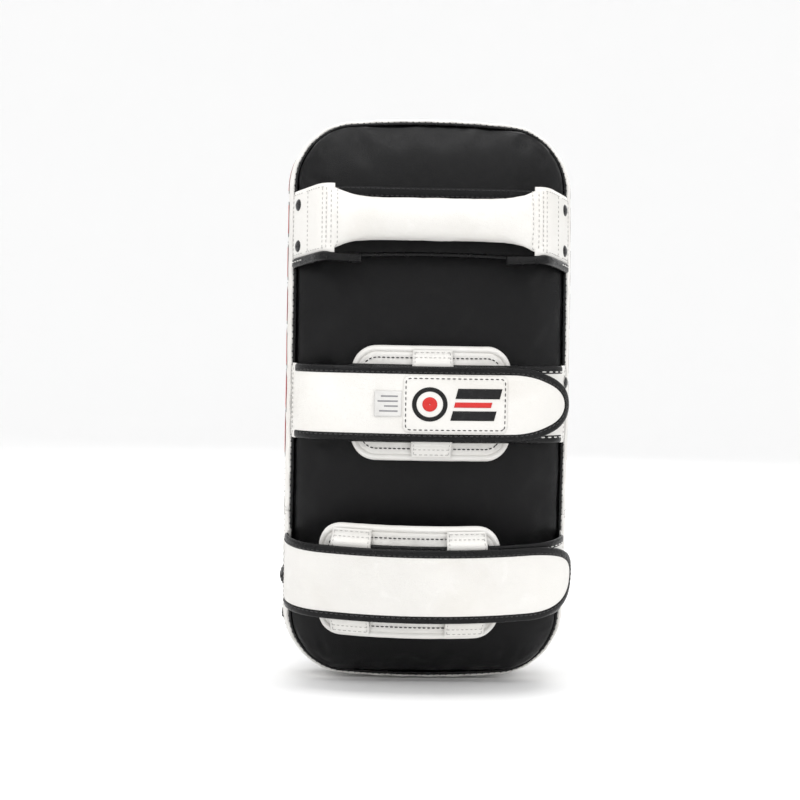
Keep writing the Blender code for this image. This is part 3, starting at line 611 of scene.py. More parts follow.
def swell(obj, sewn, cap, slack, pressure=4.0):
    """Cloth simulation: the skin fills with air between the points that are sewn down."""
    mesh = obj.data
    start = [v.co.copy() for v in mesh.vertices]
    group = obj.vertex_groups.new(name="sewn")
    group.add(sorted(sewn), 1.0, "REPLACE")
    cloth_mod = obj.modifiers.new("swell", "CLOTH")
    settings, stiff, frames = cloth_mod.settings, 18.0, 20
    for key, value in (("quality", 5), ("mass", 0.25), ("air_damping", 2.0), ("tension_stiffness", stiff),
                       ("compression_stiffness", stiff), ("shear_stiffness", stiff / 2.0),
                       ("bending_stiffness", 0.4), ("use_pressure", True), ("uniform_pressure_force", pressure),
                       ("vertex_group_mass", "sewn"), ("shrink_min", slack)):
        setattr(settings, key, value)
    settings.effector_weights.gravity = 0.0
    cloth_mod.collision_settings.use_collision = False
    cloth_mod.point_cache.frame_start = 1
    cloth_mod.point_cache.frame_end = frames
    for number in range(1, frames + 1):
        scene.frame_set(number)
    shape = obj.evaluated_get(bpy.context.evaluated_depsgraph_get()).to_mesh()
    moved = [v.co.copy() for v in shape.vertices]
    obj.modifiers.remove(cloth_mod)
    for vert, a, b in zip(mesh.vertices, start, moved):
        step = b - a
        far = step.length
        if far > 1e-9:
            vert.co = a + step * (cap * math.tanh(far / cap) / far)
    obj.vertex_groups.clear()
    mesh.update()
    scene.frame_set(1)


def thicken(obj, thickness, even=False):
    """Gives a sheet its thickness, behind the side that it was drawn on."""
    mod = obj.modifiers.new("solidify", "SOLIDIFY")
    mod.thickness, mod.offset, mod.use_even_offset = thickness, -1.0, even
    graph = bpy.context.evaluated_depsgraph_get()
    mesh = bpy.data.meshes.new_from_object(obj.evaluated_get(graph), depsgraph=graph)
    obj.modifiers.clear()
    obj.data = mesh
    mesh.shade_smooth()


# ---------------------------------------------------------------- camera, floor and light
CAMERA_AZIMUTH, CAMERA_ELEVATION, CAMERA_DISTANCE = math.radians(-3.0), math.radians(2.5), 1.5
CAMERA_ROLL = math.radians(1.0)
AIM = Vector((-0.0193, 0.0, 0.2000))  # the pad stands a little right of the picture's middle


def stage():
    data = bpy.data.cameras.new("camera")
    data.lens, data.sensor_width = 94.5, 36.0
    data.clip_start, data.clip_end = 0.05, 20.0
    camera = bpy.data.objects.new("camera", data)
    back = Vector((math.sin(CAMERA_AZIMUTH) * math.cos(CAMERA_ELEVATION),
                   -math.cos(CAMERA_AZIMUTH) * math.cos(CAMERA_ELEVATION), math.sin(CAMERA_ELEVATION)))
    camera.location = AIM + back * CAMERA_DISTANCE
    turn = back.to_track_quat("Z", "Y").to_matrix() @ Matrix.Rotation(CAMERA_ROLL, 3, "Z")
    camera.rotation_euler = turn.to_euler()
    scene.collection.objects.link(camera)
    scene.camera = camera

    turns, profile = 64, [(radius, 0.0) for radius in (0.0, 0.5, 1.0, 1.8, 2.6)]
    profile += [(2.6 + 1.4 * math.sin(angle), 1.4 - 1.4 * math.cos(angle))
                for angle in (math.pi * k / 24 for k in range(1, 13))]
    profile += [(4.0, 2.2)]
    verts = [(radius * c, radius * s, z) for radius, z in profile for c, s in circle(turns)]
    shade = Shade("floor_paint", 0.9, specular=0.1)
    shade.color(shade.mix(shade.noise(3.0), (0.925, 0.925, 0.925), (0.935, 0.935, 0.935)))
    faces = grid_faces(turns, len(profile) - 1, wrap=True, flip=True)
    floor = piece("floor", verts, faces, shade.mat)
    floor.location.z = -0.0012

    world = bpy.data.worlds.new("studio")
    world.use_nodes = True
    world.node_tree.nodes["Background"].inputs["Color"].default_value = (1.0, 1.0, 1.0, 1.0)
    world.node_tree.nodes["Background"].inputs["Strength"].default_value = 1.0
    scene.world = world
    for name, place, size, watts in (
        ("key", (-0.9, -1.6, 1.5), (1.0, 1.0), 9.0),
        ("fill", (1.5, -1.2, 0.8), (1.2, 1.2), 4.0),
        ("top", (0.0, -0.25, 1.7), (1.2, 0.8), 9.0),
        ("rear", (0.4, 1.7, 1.2), (1.4, 1.4), 9.0),
    ):
        data = bpy.data.lights.new(name, "AREA")
        data.shape = "RECTANGLE"
        data.size, data.size_y = size
        data.energy = watts
        obj = bpy.data.objects.new(name, data)
        obj.location = place
        obj.rotation_euler = (Vector((0.0, 0.0, 0.2)) - Vector(place)).to_track_quat("-Z", "Y").to_euler()
        scene.collection.objects.link(obj)
    scene.view_settings.view_transform = "Standard"


# ---------------------------------------------------------------- the pad's covers
def cover(name, node, side, inset, crown, run, slack):
    """A leather face, drawn tight over the foam and puckered along its seam."""
    columns, rows = 64, 112
    half_u, half_v, radius = pad_shape(inset)
    verts, edge = [], []
    for j, y in enumerate(across(rows)):
        for i, x in enumerate(across(columns)):
            s, t = spread(x), spread(y)
            u, v = rounded(s, t, half_u, half_v, radius)
            deep = depth_inside(u, v, half_u, half_v, radius)
            lift = dome(u, v, inset, crown - slack, run)
            along = round_distance(s, t)
            ruck = math.sin(along / 0.0058 + 2.5 * noise.noise(Vector((along * 60.0, side, 0.0))))
            share = min(deep / 0.004, 1.0) * math.exp(-deep / 0.009)
            lift += 0.00075 * ruck * share
            lift += 0.0007 * noise.noise(Vector((u * 17.0, v * 17.0, side * 3.0))) * min(deep / 0.02, 1.0)
            if 0 in (i, columns - i, j, rows - j):
                edge.append(len(verts))
            verts.append(bent(*crowned(u, v), side * (BAND_HALF + lift)))
    obj = piece(name, verts, grid_faces(columns, rows, flip=side > 0.0), BLACK)
    swell(obj, edge, 0.0016, -0.02)
    thicken(obj, COVER_WALL, even=True)
    join(obj, "pad", node)
    return obj


def seam_welt(side, w, out):
    """The rolled welt between a cover and the side band, with overlock stitches across it."""
    word = "strike" if side > 0 else "back"
    count, marks, skew = 420, 250, 0.0011
    line = [around(2.0 * HALF_ROUND * k / count, w, out) for k in range(count)]
    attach(tube(f"{word}_seam_welt", line, 0.0012, EDGE, closed=True, sides=8), "pad")
    runs = []
    for k in range(marks):
        distance = 2.0 * HALF_ROUND * k / marks
        slant = skew * (1.0 if k % 2 else -1.0)
        line = (around(distance - slant, w - side * 0.0022, out + 0.0005), around(distance, w, out + 0.0014),
                around(distance + slant, w + side * 0.0012, out + 0.0004))
        runs.append([(point, outside(distance, w, out)) for point in line])
    stitches(f"{word}_seam_overlock", runs, BLACK_THREAD, "pad", length=0.02, gap=0.0004, radius=0.00034)


def band_out(w):
    """The side band's own section: gathered toward its seams and a little full between them."""
    back = max(0.0, (-w - 0.0215) / (BAND_HALF - 0.0215))
    front = max(0.0, (w - 0.0245) / (BAND_HALF - 0.0245))
    return 0.0006 * (1.0 - (w / BAND_HALF) ** 2) - 0.0025 * back ** 1.6 - 0.0010 * front ** 1.6


def band(name, node, first, last, slit=None):
    """White leather between the distances first and last round the pad."""
    steps = int((last - first) / 0.0032)
    stops = [-0.0286, -0.0272, -0.0250, -0.0225, -0.0195, -0.0160, -0.0120, -0.0085, -SLIT_HALF,
             SLIT_HALF, 0.0085, 0.0120, 0.0160, 0.0195, 0.0225, 0.0250, 0.0270, 0.0282]
    rows = len(stops) - 1
    marks = [first + (last - first) * k / steps for k in range(steps + 1)]
    gap = None
    if slit is not None:
        low = min(range(steps + 1), key=lambda k: abs(marks[k] + slit))
        high = min(range(steps + 1), key=lambda k: abs(marks[k] - slit))
        marks[low], marks[high] = -slit, slit
        gap = (low, high, stops.index(-SLIT_HALF))
    verts = []
    for w in stops:
        for distance in marks:
            gather = 0.0004 * math.sin(distance / 0.0029) * math.exp(-(BAND_HALF - abs(w)) / 0.004)
            broad = 0.0005 * noise.noise(Vector((distance * 22.0, w * 30.0, 5.0)))
            pinch = 0.0
            if gap and abs(distance) < slit + 0.004:
                near = min(abs(distance - bar) for bar in BARS)
                pinch = -0.0005 * math.exp(-abs(abs(w) - SLIT_HALF) / 0.004) * math.exp(-(near / 0.004) ** 2)
            verts.append(around(distance, w, band_out(w) + gather + broad + pinch))
    faces = grid_faces(steps, rows, flip=True)
    if gap:
        low, high, row = gap
        gone = {row * steps + k for k in range(low, high)}
        faces = [face for k, face in enumerate(faces) if k not in gone]
    obj = piece(name, verts, faces, WHITE)
    thicken(obj, BAND_WALL, even=True)
    join(obj, "pad", node)
    return obj


BARS = [(k - (LACE_BARS - 1) / 2.0) * LACE_PITCH for k in range(LACE_BARS)]
BARS = [BARS[0] - LACE_DOUBLE, *BARS, BARS[-1] + LACE_DOUBLE]


def tongue():
    """The padded tongue behind the lacing, pressed in under each bar of lace."""
    reach, columns, sides = SLIT_D - 0.001, 260, 16
    verts = []
    for k, x in enumerate(across(columns)):
        distance = reach * x
        near = min(abs(distance - bar) for bar in BARS)
        full = 1.0 - 0.16 * math.exp(-(near / 0.0035) ** 2) + 0.03 * math.sin(distance / 0.0011)
        if k in (0, columns):
            full *= 0.5
        middle, outer = around(distance, 0.0, -0.0033), outside(distance, 0.0)
        sideways = (around(distance, 0.01, 0.0) - around(distance, 0.0, 0.0)).normalized()
        verts += [middle + sideways * (TONGUE_HALF * c) + outer * (0.0024 * full * s)
                  for c, s in circle(sides)]
    obj = piece("tongue_padding", verts, tube_faces(sides, columns + 1), TONGUE)
    outward(obj)
    join(obj, "pad", "lacing_tongue")


def lace():
    over, under_wall, under_tongue = 0.0014, -0.0044, -0.0074
    hole, points = LACE_HOLE_W, []
    for k, bar in enumerate(BARS):
        points += [around(bar, w, out) for w, out in (
            (-hole, under_wall), (-hole, -0.0011), (-hole + 0.0004, 0.0007), (-hole + 0.0018, over),
            (0.0, over + 0.0001), (hole - 0.0018, over), (hole - 0.0004, 0.0007),
            (hole, -0.0011), (hole, under_wall),
        )]
        if k + 1 < len(BARS):
            ahead = BARS[k + 1] - bar
            points += [around(bar + ahead * share, w, out) for share, w, out in (
                (0.2, 0.0062, under_tongue), (0.5, 0.0, under_tongue), (0.8, -0.0062, under_tongue),
            )]
    obj = tube("lace_cord", smooth_path(points, 4), LACE_RADIUS, LACE, sides=10)
    join(obj, "pad", "lace")
    for word, sign in SIDES:
        middle = sign * (BARS[-1] - LACE_DOUBLE / 2.0)
        coil = []
        for k in range(73):
            turn = 2.0 * math.pi * 3.0 * k / 72.0
            w = -0.0036 + 0.0072 * k / 72.0
            coil.append(around(middle + 0.0023 * math.cos(turn), w, 0.0014 + 0.0009 * math.sin(turn)))
        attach(tube(f"lace_knot_{word}", coil, 0.0009, LACE, sides=8), "pad")
        rings = []
        for bar in BARS:
            for w in (-hole, hole) if bar * sign >= 0 else ():
                centre, outer = around(bar, w, band_out(w) + 0.0002), outside(bar, w)
                side = outer.orthogonal().normalized()
                other = outer.cross(side)
                ring = [(centre + (side * c + other * s) * 0.0019, outer) for c, s in circle(12)]
                rings.append(ring + ring[:1])
        stitches(f"lace_eyelets_{word}", rings, BLACK_THREAD, "pad", length=0.0011, gap=0.0001,
                 radius=0.00042)


def panel_stitches(upper, lower):
    """The sewn panel round the lacing, and the stitched join of the two side bands."""
    def on(distance, w, target=surface(lower)):
        return target(around(distance, w, 0.0), outside(distance, w))

    top, low, high = SLIT_D + 0.0135, -0.0172, 0.0192
    runs = [[on(top * x, w) for x in across(420)] for w in (low, high)]
    for sign in (-1.0, 1.0):
        runs.append([on(sign * top, low + (high - low) * k / 12) for k in range(13)])
        runs += [[on(sign * (SLIT_D + 0.0010 + 0.0125 * k / 8), w) for k in range(9)]
                 for w in (-0.0013, 0.0017)]
        for shift, target in ((0.0022, surface(upper)), (-0.0024, surface(lower))):
            runs.append([on(sign * (SEAM_D + shift), -0.0265 + 0.053 * k / 24, target) for k in range(25)])
    stitches("side_panel_stitches", runs, GREY_THREAD, "pad", length=0.0021, gap=0.0014, radius=0.00034)


def decal(name, columns, rows, place, target, mat, body, lift, wrap=False):
    """A printed shape: a grid of (point, normal) dropped onto the target's surface."""
    verts = [target(*place(i / columns, j / rows), lift)[0]
             for j in range(rows + 1) for i in range(columns if wrap else columns + 1)]
    faces = grid_faces(columns, rows, wrap=wrap)
    obj = piece(name, verts, faces, mat)
    middle = obj.data.polygons[len(faces) // 2]
    _, facing = place(0.5, 0.5)
    if middle.normal.dot(facing) < 0.0:
        obj.data.flip_normals()
    thicken(obj, lift * 0.8)
    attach(obj, body)


def side_prints(upper):
    """Slanted red bars with black outlines on both sides of the pad."""
    probe = surface(upper)
    low, high, bars = length_at(-0.040), length_at(0.172), 7
    pitch = (high - low) / bars
    for word, sign in SIDES:
        for n in range(bars):
            for kind, margin, mat, lift in (("outline", 0.0, INK, 0.00022), ("fill", 0.0021, RED, 0.00040)):
                def place(x, y, n=n, margin=margin, sign=sign):
                    w = (-0.0205 + margin) + (0.0405 - 2.0 * margin) * x
                    along = low + pitch * n + margin + (pitch * 0.80 - 2.0 * margin) * y
                    distance = sign * (along + 0.20 * (w + 0.0205))
                    return around(distance, w, 0.0), outside(distance, w)
                decal(f"side_bar_{word}_{n + 1}_{kind}", 14, 10, place, probe, mat, "pad", lift)


def strike_mark(target):
    """A plain target mark on the upper part of the strike face."""
    probe, centre_v = surface(target), 0.070
    rings = (("outer", 0.037, 0.044), ("middle", 0.0225, 0.0275), ("inner", 0.0004, 0.0105))
    for name, inner, outer in rings:
        def place(x, y, inner=inner, outer=outer):
            angle, size = 2.0 * math.pi * x, inner + (outer - inner) * y
            u, v = size * math.cos(angle), centre_v + size * math.sin(angle)
            return bent(u, v, 0.047), (bent(u, v, 0.06) - bent(u, v, 0.05)).normalized()
        decal(f"strike_mark_{name}", 72, 4, place, probe, PRINT_WHITE, "pad", 0.00022, wrap=True)


def back_seam(target):
    """The sewn fold across the back cover, just over the grip."""
    probe, seam_v, reach = surface(target), 0.1400, 0.0875
    columns, rows = 70, 4

    def on(u, v):
        return bent(u, v, -0.046), (bent(u, v, -0.06) - bent(u, v, -0.05)).normalized()

    def place(i, j):
        at = on(reach * (2.0 * i / columns - 1.0), seam_v + 0.0075 * (j / rows - 0.5))
        return probe(*at, 0.0007 if 0 < j < rows else 0.0001)[0]

    verts = [place(i, j) for j in range(rows + 1) for i in range(columns + 1)]
    obj = piece("back_seam_fold", verts, grid_faces(columns, rows), BLACK)
    if obj.data.polygons[0].normal.y > 0.0:
        obj.data.flip_normals()
    thicken(obj, 0.0007)
    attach(obj, "pad")
    top = surface(obj)
    runs = [[top(*on(reach * x, v)) for x in across(60)] for v in (seam_v - 0.0024, seam_v + 0.0024)]
    stitches("back_seam_stitches", runs, BLACK_THREAD, "pad", length=0.0024, gap=0.0011)


# ---------------------------------------------------------------- the grip
GRIP_PLACE = station(GRIP_V)


def in_grip(x, y, z):
    return GRIP_PLACE @ Vector((x, y, z))


def grip_radii(x, out=0.0):
    full = math.cos(min(abs(x) / GRIP_HALF, 1.0) ** 3 * math.pi / 2.0)
    return (GRIP_END[0] + (GRIP_DEPTH - GRIP_END[0]) * full + out,
            GRIP_END[1] + (GRIP_HEIGHT - GRIP_END[1]) * full + out)


def grip_roll():
    sides, rings = 40, 72
    verts, sewn = [], []
    for share in across(rings):
        x = GRIP_HALF * spread(share)
        depth, height = grip_radii(x)
        slim = 0.0009 * (1.0 - (x / GRIP_HALF) ** 6)
        near = max(0.0, (abs(x) - 0.045) / 0.03)
        for n, (c, s) in enumerate(circle(sides)):
            angle = 2.0 * math.pi * n / sides
            ruck = 0.00045 * near * math.sin(9.0 * angle + 3.0 * noise.noise(Vector((x * 40.0, angle, 0.0))))
            size = 1.0 + (ruck - slim) / height
            if abs(x) > 0.0685 or n == 0:
                sewn.append(len(verts))
            verts.append(in_grip(x, GRIP_Y + depth * size * c, height * size * s))
    obj = piece("grip_sleeve", verts, tube_faces(sides, rings + 1), WHITE)
    outward(obj)
    swell(obj, sewn, 0.0013, -0.015, pressure=5.0)
    join(obj, "grip", "grip_cover")
    return obj


def plan_line(points, per=8):
    return smooth_path([Vector((x, y, 0.0)) for x, y in points], per)


def strip_on_edge(name, path, low, high, thickness, mat, rows, crown=0.0, bow=None):
    """A sheet that stands on its plan path between two heights; bow bends the heights along it."""
    line = plan_line(path)
    total = len(line) - 1

    def place(i, j):
        return in_grip(line[i].x, line[i].y, low + (high - low) * j / rows + (bow(i / total) if bow else 0.0))

    return slab(name, total, rows, place, thickness, mat, crown=crown)


def grip_tabs():
    """The flat ends that join the grip to the pad's back seams."""
    turn = GRIP_PLACE.to_3x3()
    for word, side in SIDES:
        path = [(side * x, y) for x, y in (
            (ROOT.x - 0.0004, ROOT.y + 0.0010), (0.0955, -0.0335), (0.0925, -0.0408), (TAB_CUT_X, -0.0492),
            (0.0838, -0.0590), (0.0795, -0.0672), (0.0745, GRIP_Y - 0.0004), (0.0690, GRIP_Y - 0.0006),
        )]
        tab = strip_on_edge(f"grip_tab_leather_{word}", path, -TAB_HALF, TAB_HALF, STRAP_SHEET, WHITE, 14,
                            crown=0.0002)
        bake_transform(tab)
        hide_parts(f"grip_tab_{word}", f"grip_root_{word}")

        edge_path = path[:-1] + [(side * 0.0640, GRIP_Y + 0.0030), (side * 0.0500, GRIP_Y + 0.0055)]
        edge = strip_on_edge(f"grip_edge_leather_{word}", edge_path, -TAB_HALF - 0.0058, -TAB_HALF + 0.0006,
                             0.0036, EDGE, 6, crown=0.0003)
        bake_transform(edge)
        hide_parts(f"grip_root_binding_{word}", "grip_binding")

        line, probe, edge_probe = plan_line(path), surface(tab), surface(edge)

        def on(p, z, target=probe, side=side):
            out = Vector((side * 0.88, -0.47, 0.0)) if abs(p.x) > 0.079 else Vector((side * 0.3, -0.95, 0.0))
            return target(in_grip(p.x, p.y, z), turn @ out)

        def along(share, line=line):
            return line[min(int(share * (len(line) - 1)), len(line) - 1)]

        def upright(share):
            return [on(along(share), -0.021 + 0.042 * k / 14) for k in range(15)]

        def level(first, reach):
            return [[on(along(first + reach * k / 10), z) for k in range(11)] for z in (-0.0212, 0.0212)]

        size = {"length": 0.0020, "gap": 0.0013, "radius": 0.00032}
        low, high = level(0.075, 0.30)
        stitches(f"grip_root_stitches_{word}", [upright(0.075), upright(0.135), low, high],
                 GREY_THREAD, "pad", **size)
        low, high = level(0.48, 0.34)
        stitches(f"grip_tab_stitches_{word}", [low, high, upright(0.50), upright(0.80), upright(0.86)],
                 GREY_THREAD, "grip", **size)
        part = [p for p in plan_line(edge_path) if abs(p.x) > TAB_CUT_X + 0.001]
        stitches(f"grip_edge_stitches_{word}", [[on(p, -TAB_HALF - 0.0022, edge_probe) for p in part]],
                 WHITE_THREAD, "pad", length=0.0024, gap=0.0015, radius=0.00036)


def grip_back():
    """The black strip behind and under the roll, bowed up toward its middle."""
    behind = GRIP_Y + GRIP_DEPTH + 0.0012
    path = [(-0.0700, GRIP_Y + 0.0072), (-0.0580, behind - 0.0014), (-0.0420, behind), (-0.0200, behind),
            (0.0200, behind), (0.0420, behind), (0.0580, behind - 0.0014), (0.0700, GRIP_Y + 0.0072)]
    obj = strip_on_edge("grip_backing_leather", path, -0.0255, 0.0100, 0.0015, BLACK, 12,
                        bow=lambda share: 0.0022 * (1.0 - (2.0 * share - 1.0) ** 2) - 0.0004)
    join(obj, "grip", "grip_backing")
    hem = [in_grip(p.x, p.y - 0.0006, -0.0245 + 0.0022 * (1.0 - (p.x / 0.07) ** 2))
           for p in plan_line(path) if abs(p.x) < 0.066]
    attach(tube("grip_backing_hem", hem, 0.0016, EDGE, sides=8), "grip")


def grip_stitches(sleeve):
    probe = surface(sleeve)

    def on(x, front, angle):
        depth, height = grip_radii(x, 0.002)
        point = in_grip(x, GRIP_Y + front * depth * math.cos(angle), height * math.sin(angle))
        return probe(point, GRIP_PLACE.to_3x3() @ Vector((0.0, front, 0.0)))

    runs = [[on(x, front, math.radians(-72.0 + 144.0 * k / 18)) for k in range(19)]
            for x in (-0.0715, -0.0672, 0.0672, 0.0715) for front in (-1.0, 1.0)]
    stitches("grip_end_stitches", runs, GREY_THREAD, "grip", length=0.0020, gap=0.0014, radius=0.00034)
    stitches("grip_seam_stitches", [[on(0.066 * x, 1.0, 0.0) for x in across(60)]], GREY_THREAD, "grip")


# ---------------------------------------------------------------- the forearm straps
class Arch:
    """The plan of a strap over the forearm, as in the CAD model: a wide arc and a tighter one at each side.

    Offset 0 is the middle of the inner strap's sheet and LAYER the middle of the outer strap's.
    s is the length along offset 0 from X = 0.
    """

    def __init__(self, v, apex, radius, half_left, half_right):
        self.frame = station(v)
        self.radius = radius
        self.centre = Vector((0.0, radius - apex))
        self.left_angle = math.asin(half_left / radius)
        self.right_angle = math.asin(half_right / radius)
        self.right = self.side_arc(self.right_angle, ROOT, 0.0)
        self.left = self.side_arc(-self.left_angle, Vector((-ROOT.x, ROOT.y)), LAYER)
        self.right_end = radius * self.right_angle + self.right[1] * (self.right[2] - self.right_angle)
        self.left_end = -radius * self.left_angle - self.left[1] * (-self.left_angle - self.left[2])

    def side_arc(self, angle, root, offset):
        normal = Vector((math.sin(angle), -math.cos(angle)))
        start = self.centre + normal * (self.radius + offset)
        reach = root - start
        size = -reach.length_squared / (2.0 * reach.dot(normal))
        centre = start - normal * size
        last = root - centre
        return centre, size - offset, math.atan2(last.x, -last.y)

    def angle(self, s):
        middle_right, middle_left = self.radius * self.right_angle, -self.radius * self.left_angle
        if s > middle_right:
            return self.right_angle + (s - middle_right) / self.right[1], self.right
        if s < middle_left:
            return -self.left_angle + (s - middle_left) / self.left[1], self.left
        return s / self.radius, (self.centre, self.radius, None)

    def point(self, s, z, offset):
        angle, (centre, size, _) = self.angle(s)
        x, y = (size + offset) * math.sin(angle), (size + offset) * math.cos(angle)
        return self.frame @ Vector((centre.x + x, centre.y - y, z))

    def normal(self, s):
        angle, _ = self.angle(s)
        return self.frame.to_3x3() @ Vector((math.sin(angle), -math.cos(angle), 0.0))

    def from_left(self, length):
        return self.left_end + length * self.left[1] / (self.left[1] + LAYER)

    def from_right(self, length):
        return self.right_end - length

    def middle(self):
        return self.frame @ Vector((self.centre.x, self.centre.y, 0.0))


def strap_leather(name, arch, root, bound, centre, taper, half, offset):
    """A strap's leather: from the seam at root to the rounded tip; its binding starts at bound."""
    run, tip, rows = 64, 16, 12
    last = math.radians(84.0)

    def place(i, j):
        angle = max(i - run, 0) * last / tip
        s = root + (centre - root) * min(i / run, 1.0) + taper * math.sin(angle)
        under = 0.0 if (s - bound) * (1.0 if taper > 0.0 else -1.0) < 0.0 else 0.0009
        return arch.point(s, (half - under) * math.cos(angle) * (2.0 * j / rows - 1.0), offset)

    return slab(name, run + tip, rows, place, STRAP_BODY + 0.0006, WHITE, arch.middle(), crown=0.00025)


def bound_edge(name, arch, start, centre, taper, half, offset, body, node, dashes):
    """The black binding folded over a strap's edge, with its row of sewing."""
    run, tip = 56, 36
    route = [(k / run, 0.0) for k in range(run)]
    route += [(1.0, math.pi * k / tip) for k in range(tip + 1)]
    route += [((run - 1 - k) / run, math.pi) for k in range(run)]
    high = STRAP_EDGE / 2.0
    section = [(BINDING, high * 0.80), (BINDING * 0.9, high), (BINDING * 0.5, high + 0.0001), (0.0014, high),
               (0.0004, high * 0.66), (0.0, 0.0), (0.0004, -high * 0.66), (0.0014, -high),
               (BINDING * 0.5, -high), (BINDING * 0.9, -high), (BINDING, -high * 0.80)]

    def at(share, angle, drawn, shift):
        s = start + (centre - start) * share
        if share == 1.0:
            s = centre + math.copysign(abs(taper) - drawn, taper) * math.sin(angle)
        return arch.point(s, (half - drawn) * math.cos(angle), offset + shift), arch.normal(s)

    verts = []
    for share, angle in route:
        wrinkle = 0.00012 * noise.noise(Vector((share * 60.0, angle * 8.0, offset * 900.0)))
        verts += [at(share, angle, drawn, shift * (1.0 + wrinkle / high))[0] for drawn, shift in section]
    obj = piece(name, verts, tube_faces(len(section), len(route)), EDGE)
    outward(obj)
    join(obj, body, node)
    line = [at(share, angle, BINDING - 0.0013, high) for share, angle in route]
    bright = 12 if dashes else 0
    stitches(f"{name}_sewing", [line[bright:len(line) - bright]], BLACK_THREAD, body, length=0.0024,
             gap=0.0012, radius=0.00032)
    if dashes:
        stitches(f"{name}_dashes", [line[:bright], line[-bright:]], WHITE_THREAD, body, length=0.0026,
                 gap=0.0022, radius=0.00042)


def cushion(word, arch, centre_s, half_s, half_z, body):
    """A forearm cushion: crowned on both faces, with a sewn channel inside its rolled rim."""
    columns, rows = 46, 34
    middle, channel, inset = -PAD_FACE - PAD_DEEP / 2.0, 0.0085, 0.0030
    shape = (half_s - inset, half_z - inset, PAD_CORNER - inset)
    verts, sewn, faces, index = [], [], [], {}
    for side in (1.0, -1.0):
        for j, t in enumerate(across(rows)):
            for i, u in enumerate(across(columns)):
                border = 0 in (i, columns - i, j, rows - j)
                if side < 0.0 and border:
                    index[side, i, j] = index[1.0, i, j]
                    continue
                s, z = rounded(u, t, *shape)
                deep = depth_inside(s, z, *shape)
                share = min(max(deep, 0.0) / 0.0045, 1.0)
                high = 0.0008 + 0.0024 * math.sqrt(1.0 - (1.0 - share) ** 2)
                high -= 0.0013 * math.exp(-((deep + inset - channel) / 0.0012) ** 2)
                high += (0.0007 if side < 0.0 else 0.0003) * min(max(deep - 0.007, 0.0) / 0.012, 1.0)
                high += 0.00025 * noise.noise(Vector((s * 70.0, z * 70.0, side * 4.0)))
                index[side, i, j] = len(verts)
                if border or abs(deep + inset - channel) < 0.0013:
                    sewn.append(len(verts))
                verts.append(arch.point(centre_s + s, z, middle + (0.0 if border else side * high)))
        for j in range(rows):
            for i in range(columns):
                quad = [index[side, i + a, j + b] for a, b in ((0, 0), (1, 0), (1, 1), (0, 1))]
                faces.append(quad if side > 0.0 else quad[::-1])
    obj = piece(f"{word}_cushion", verts, faces, WHITE)
    outward(obj)
    swell(obj, sewn, 0.0006, -0.015)
    join(obj, body, f"{word}_forearm_pad")

    stops, sides, drawn = 150, 12, 0.0028
    verts = []
    for s, t in list(square_walk(stops))[:-1]:
        a, z = rounded(s, t, half_s - drawn, half_z - drawn, PAD_CORNER - drawn)
        b, y = rounded(s, t, half_s, half_z, PAD_CORNER)
        fat = 1.0 + 0.05 * noise.noise(Vector((a * 110.0, z * 110.0, 2.0)))
        for cosine, sine in circle(sides):
            reach = 0.0027 * fat * cosine
            verts.append(arch.point(centre_s + a + (b - a) / drawn * reach, z + (y - z) / drawn * reach,
                                    middle + 0.0034 * fat * sine))
    last = (stops - 1) * sides
    faces = grid_faces(sides, stops - 1, wrap=True)
    faces += [[last + n, last + (n + 1) % sides, (n + 1) % sides, n] for n in range(sides)]
    rolled = piece(f"{word}_cushion_rim", verts, faces, WHITE)
    outward(rolled)
    join(rolled, body, f"{word}_pad_rim")

    probe = surface(obj)
    route = [rounded(s, t, half_s - channel, half_z - channel, PAD_CORNER - channel)
             for s, t in square_walk(stops)]
    runs = [[probe(arch.point(centre_s + a, z, middle), arch.normal(centre_s + a) * side, 0.0001)
             for a, z in route] for side in (1.0, -1.0)]
    stitches(f"{word}_cushion_sewing", runs, BLACK_THREAD, body, length=0.0022, gap=0.0010, radius=0.00042)


def keeper(name, node, arch, centre_s, half_z, body):
    """A leather loop over the inner strap, sewn to the cushion's edges."""
    low, high = -PAD_FACE + 0.0010, STRAP_EDGE / 2.0 + 0.0010
    foot, knee = half_z - 0.0030, INNER_HALF + 0.0014
    line = plan_line([(-foot, low), (-foot + 0.0035, low), (-knee - 0.0012, (low + high) / 2.0),
                      (-knee + 0.001, high), (-knee * 0.6, high + 0.0001), (0.0, high + 0.0002),
                      (knee * 0.6, high + 0.0001), (knee - 0.001, high), (knee + 0.0012, (low + high) / 2.0),
                      (foot - 0.0035, low), (foot, low)], 5)
    columns = 12

    def place(i, j):
        return arch.point(centre_s + KEEPER_HALF * (2.0 * i / columns - 1.0), line[j].x, line[j].y)

    obj = slab(name, columns, len(line) - 1, place, 0.0014, WHITE, arch.middle())
    join(obj, body, node)
    probe = surface(obj)

    def on(s, z):
        return probe(arch.point(centre_s + s, z, 0.002), arch.normal(centre_s + s))

    edge = KEEPER_HALF - 0.0018
    runs = [[on(side, foot * 0.96 * z) for z in across(40)] for side in (-edge, edge)]
    runs += [[on(edge * x, sign * z) for x in across(12)]
             for z in (foot - 0.0016, foot - 0.0052) for sign in (-1.0, 1.0)]
    stitches(f"{name}_sewing", runs, GREY_THREAD, body, length=0.0020, gap=0.0012, radius=0.0003)


def bend_at_root(obj, fixed, free):
    """Bakes the strap's placement into its mesh; the leather is not bent past its root.
    """
    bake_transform(obj)


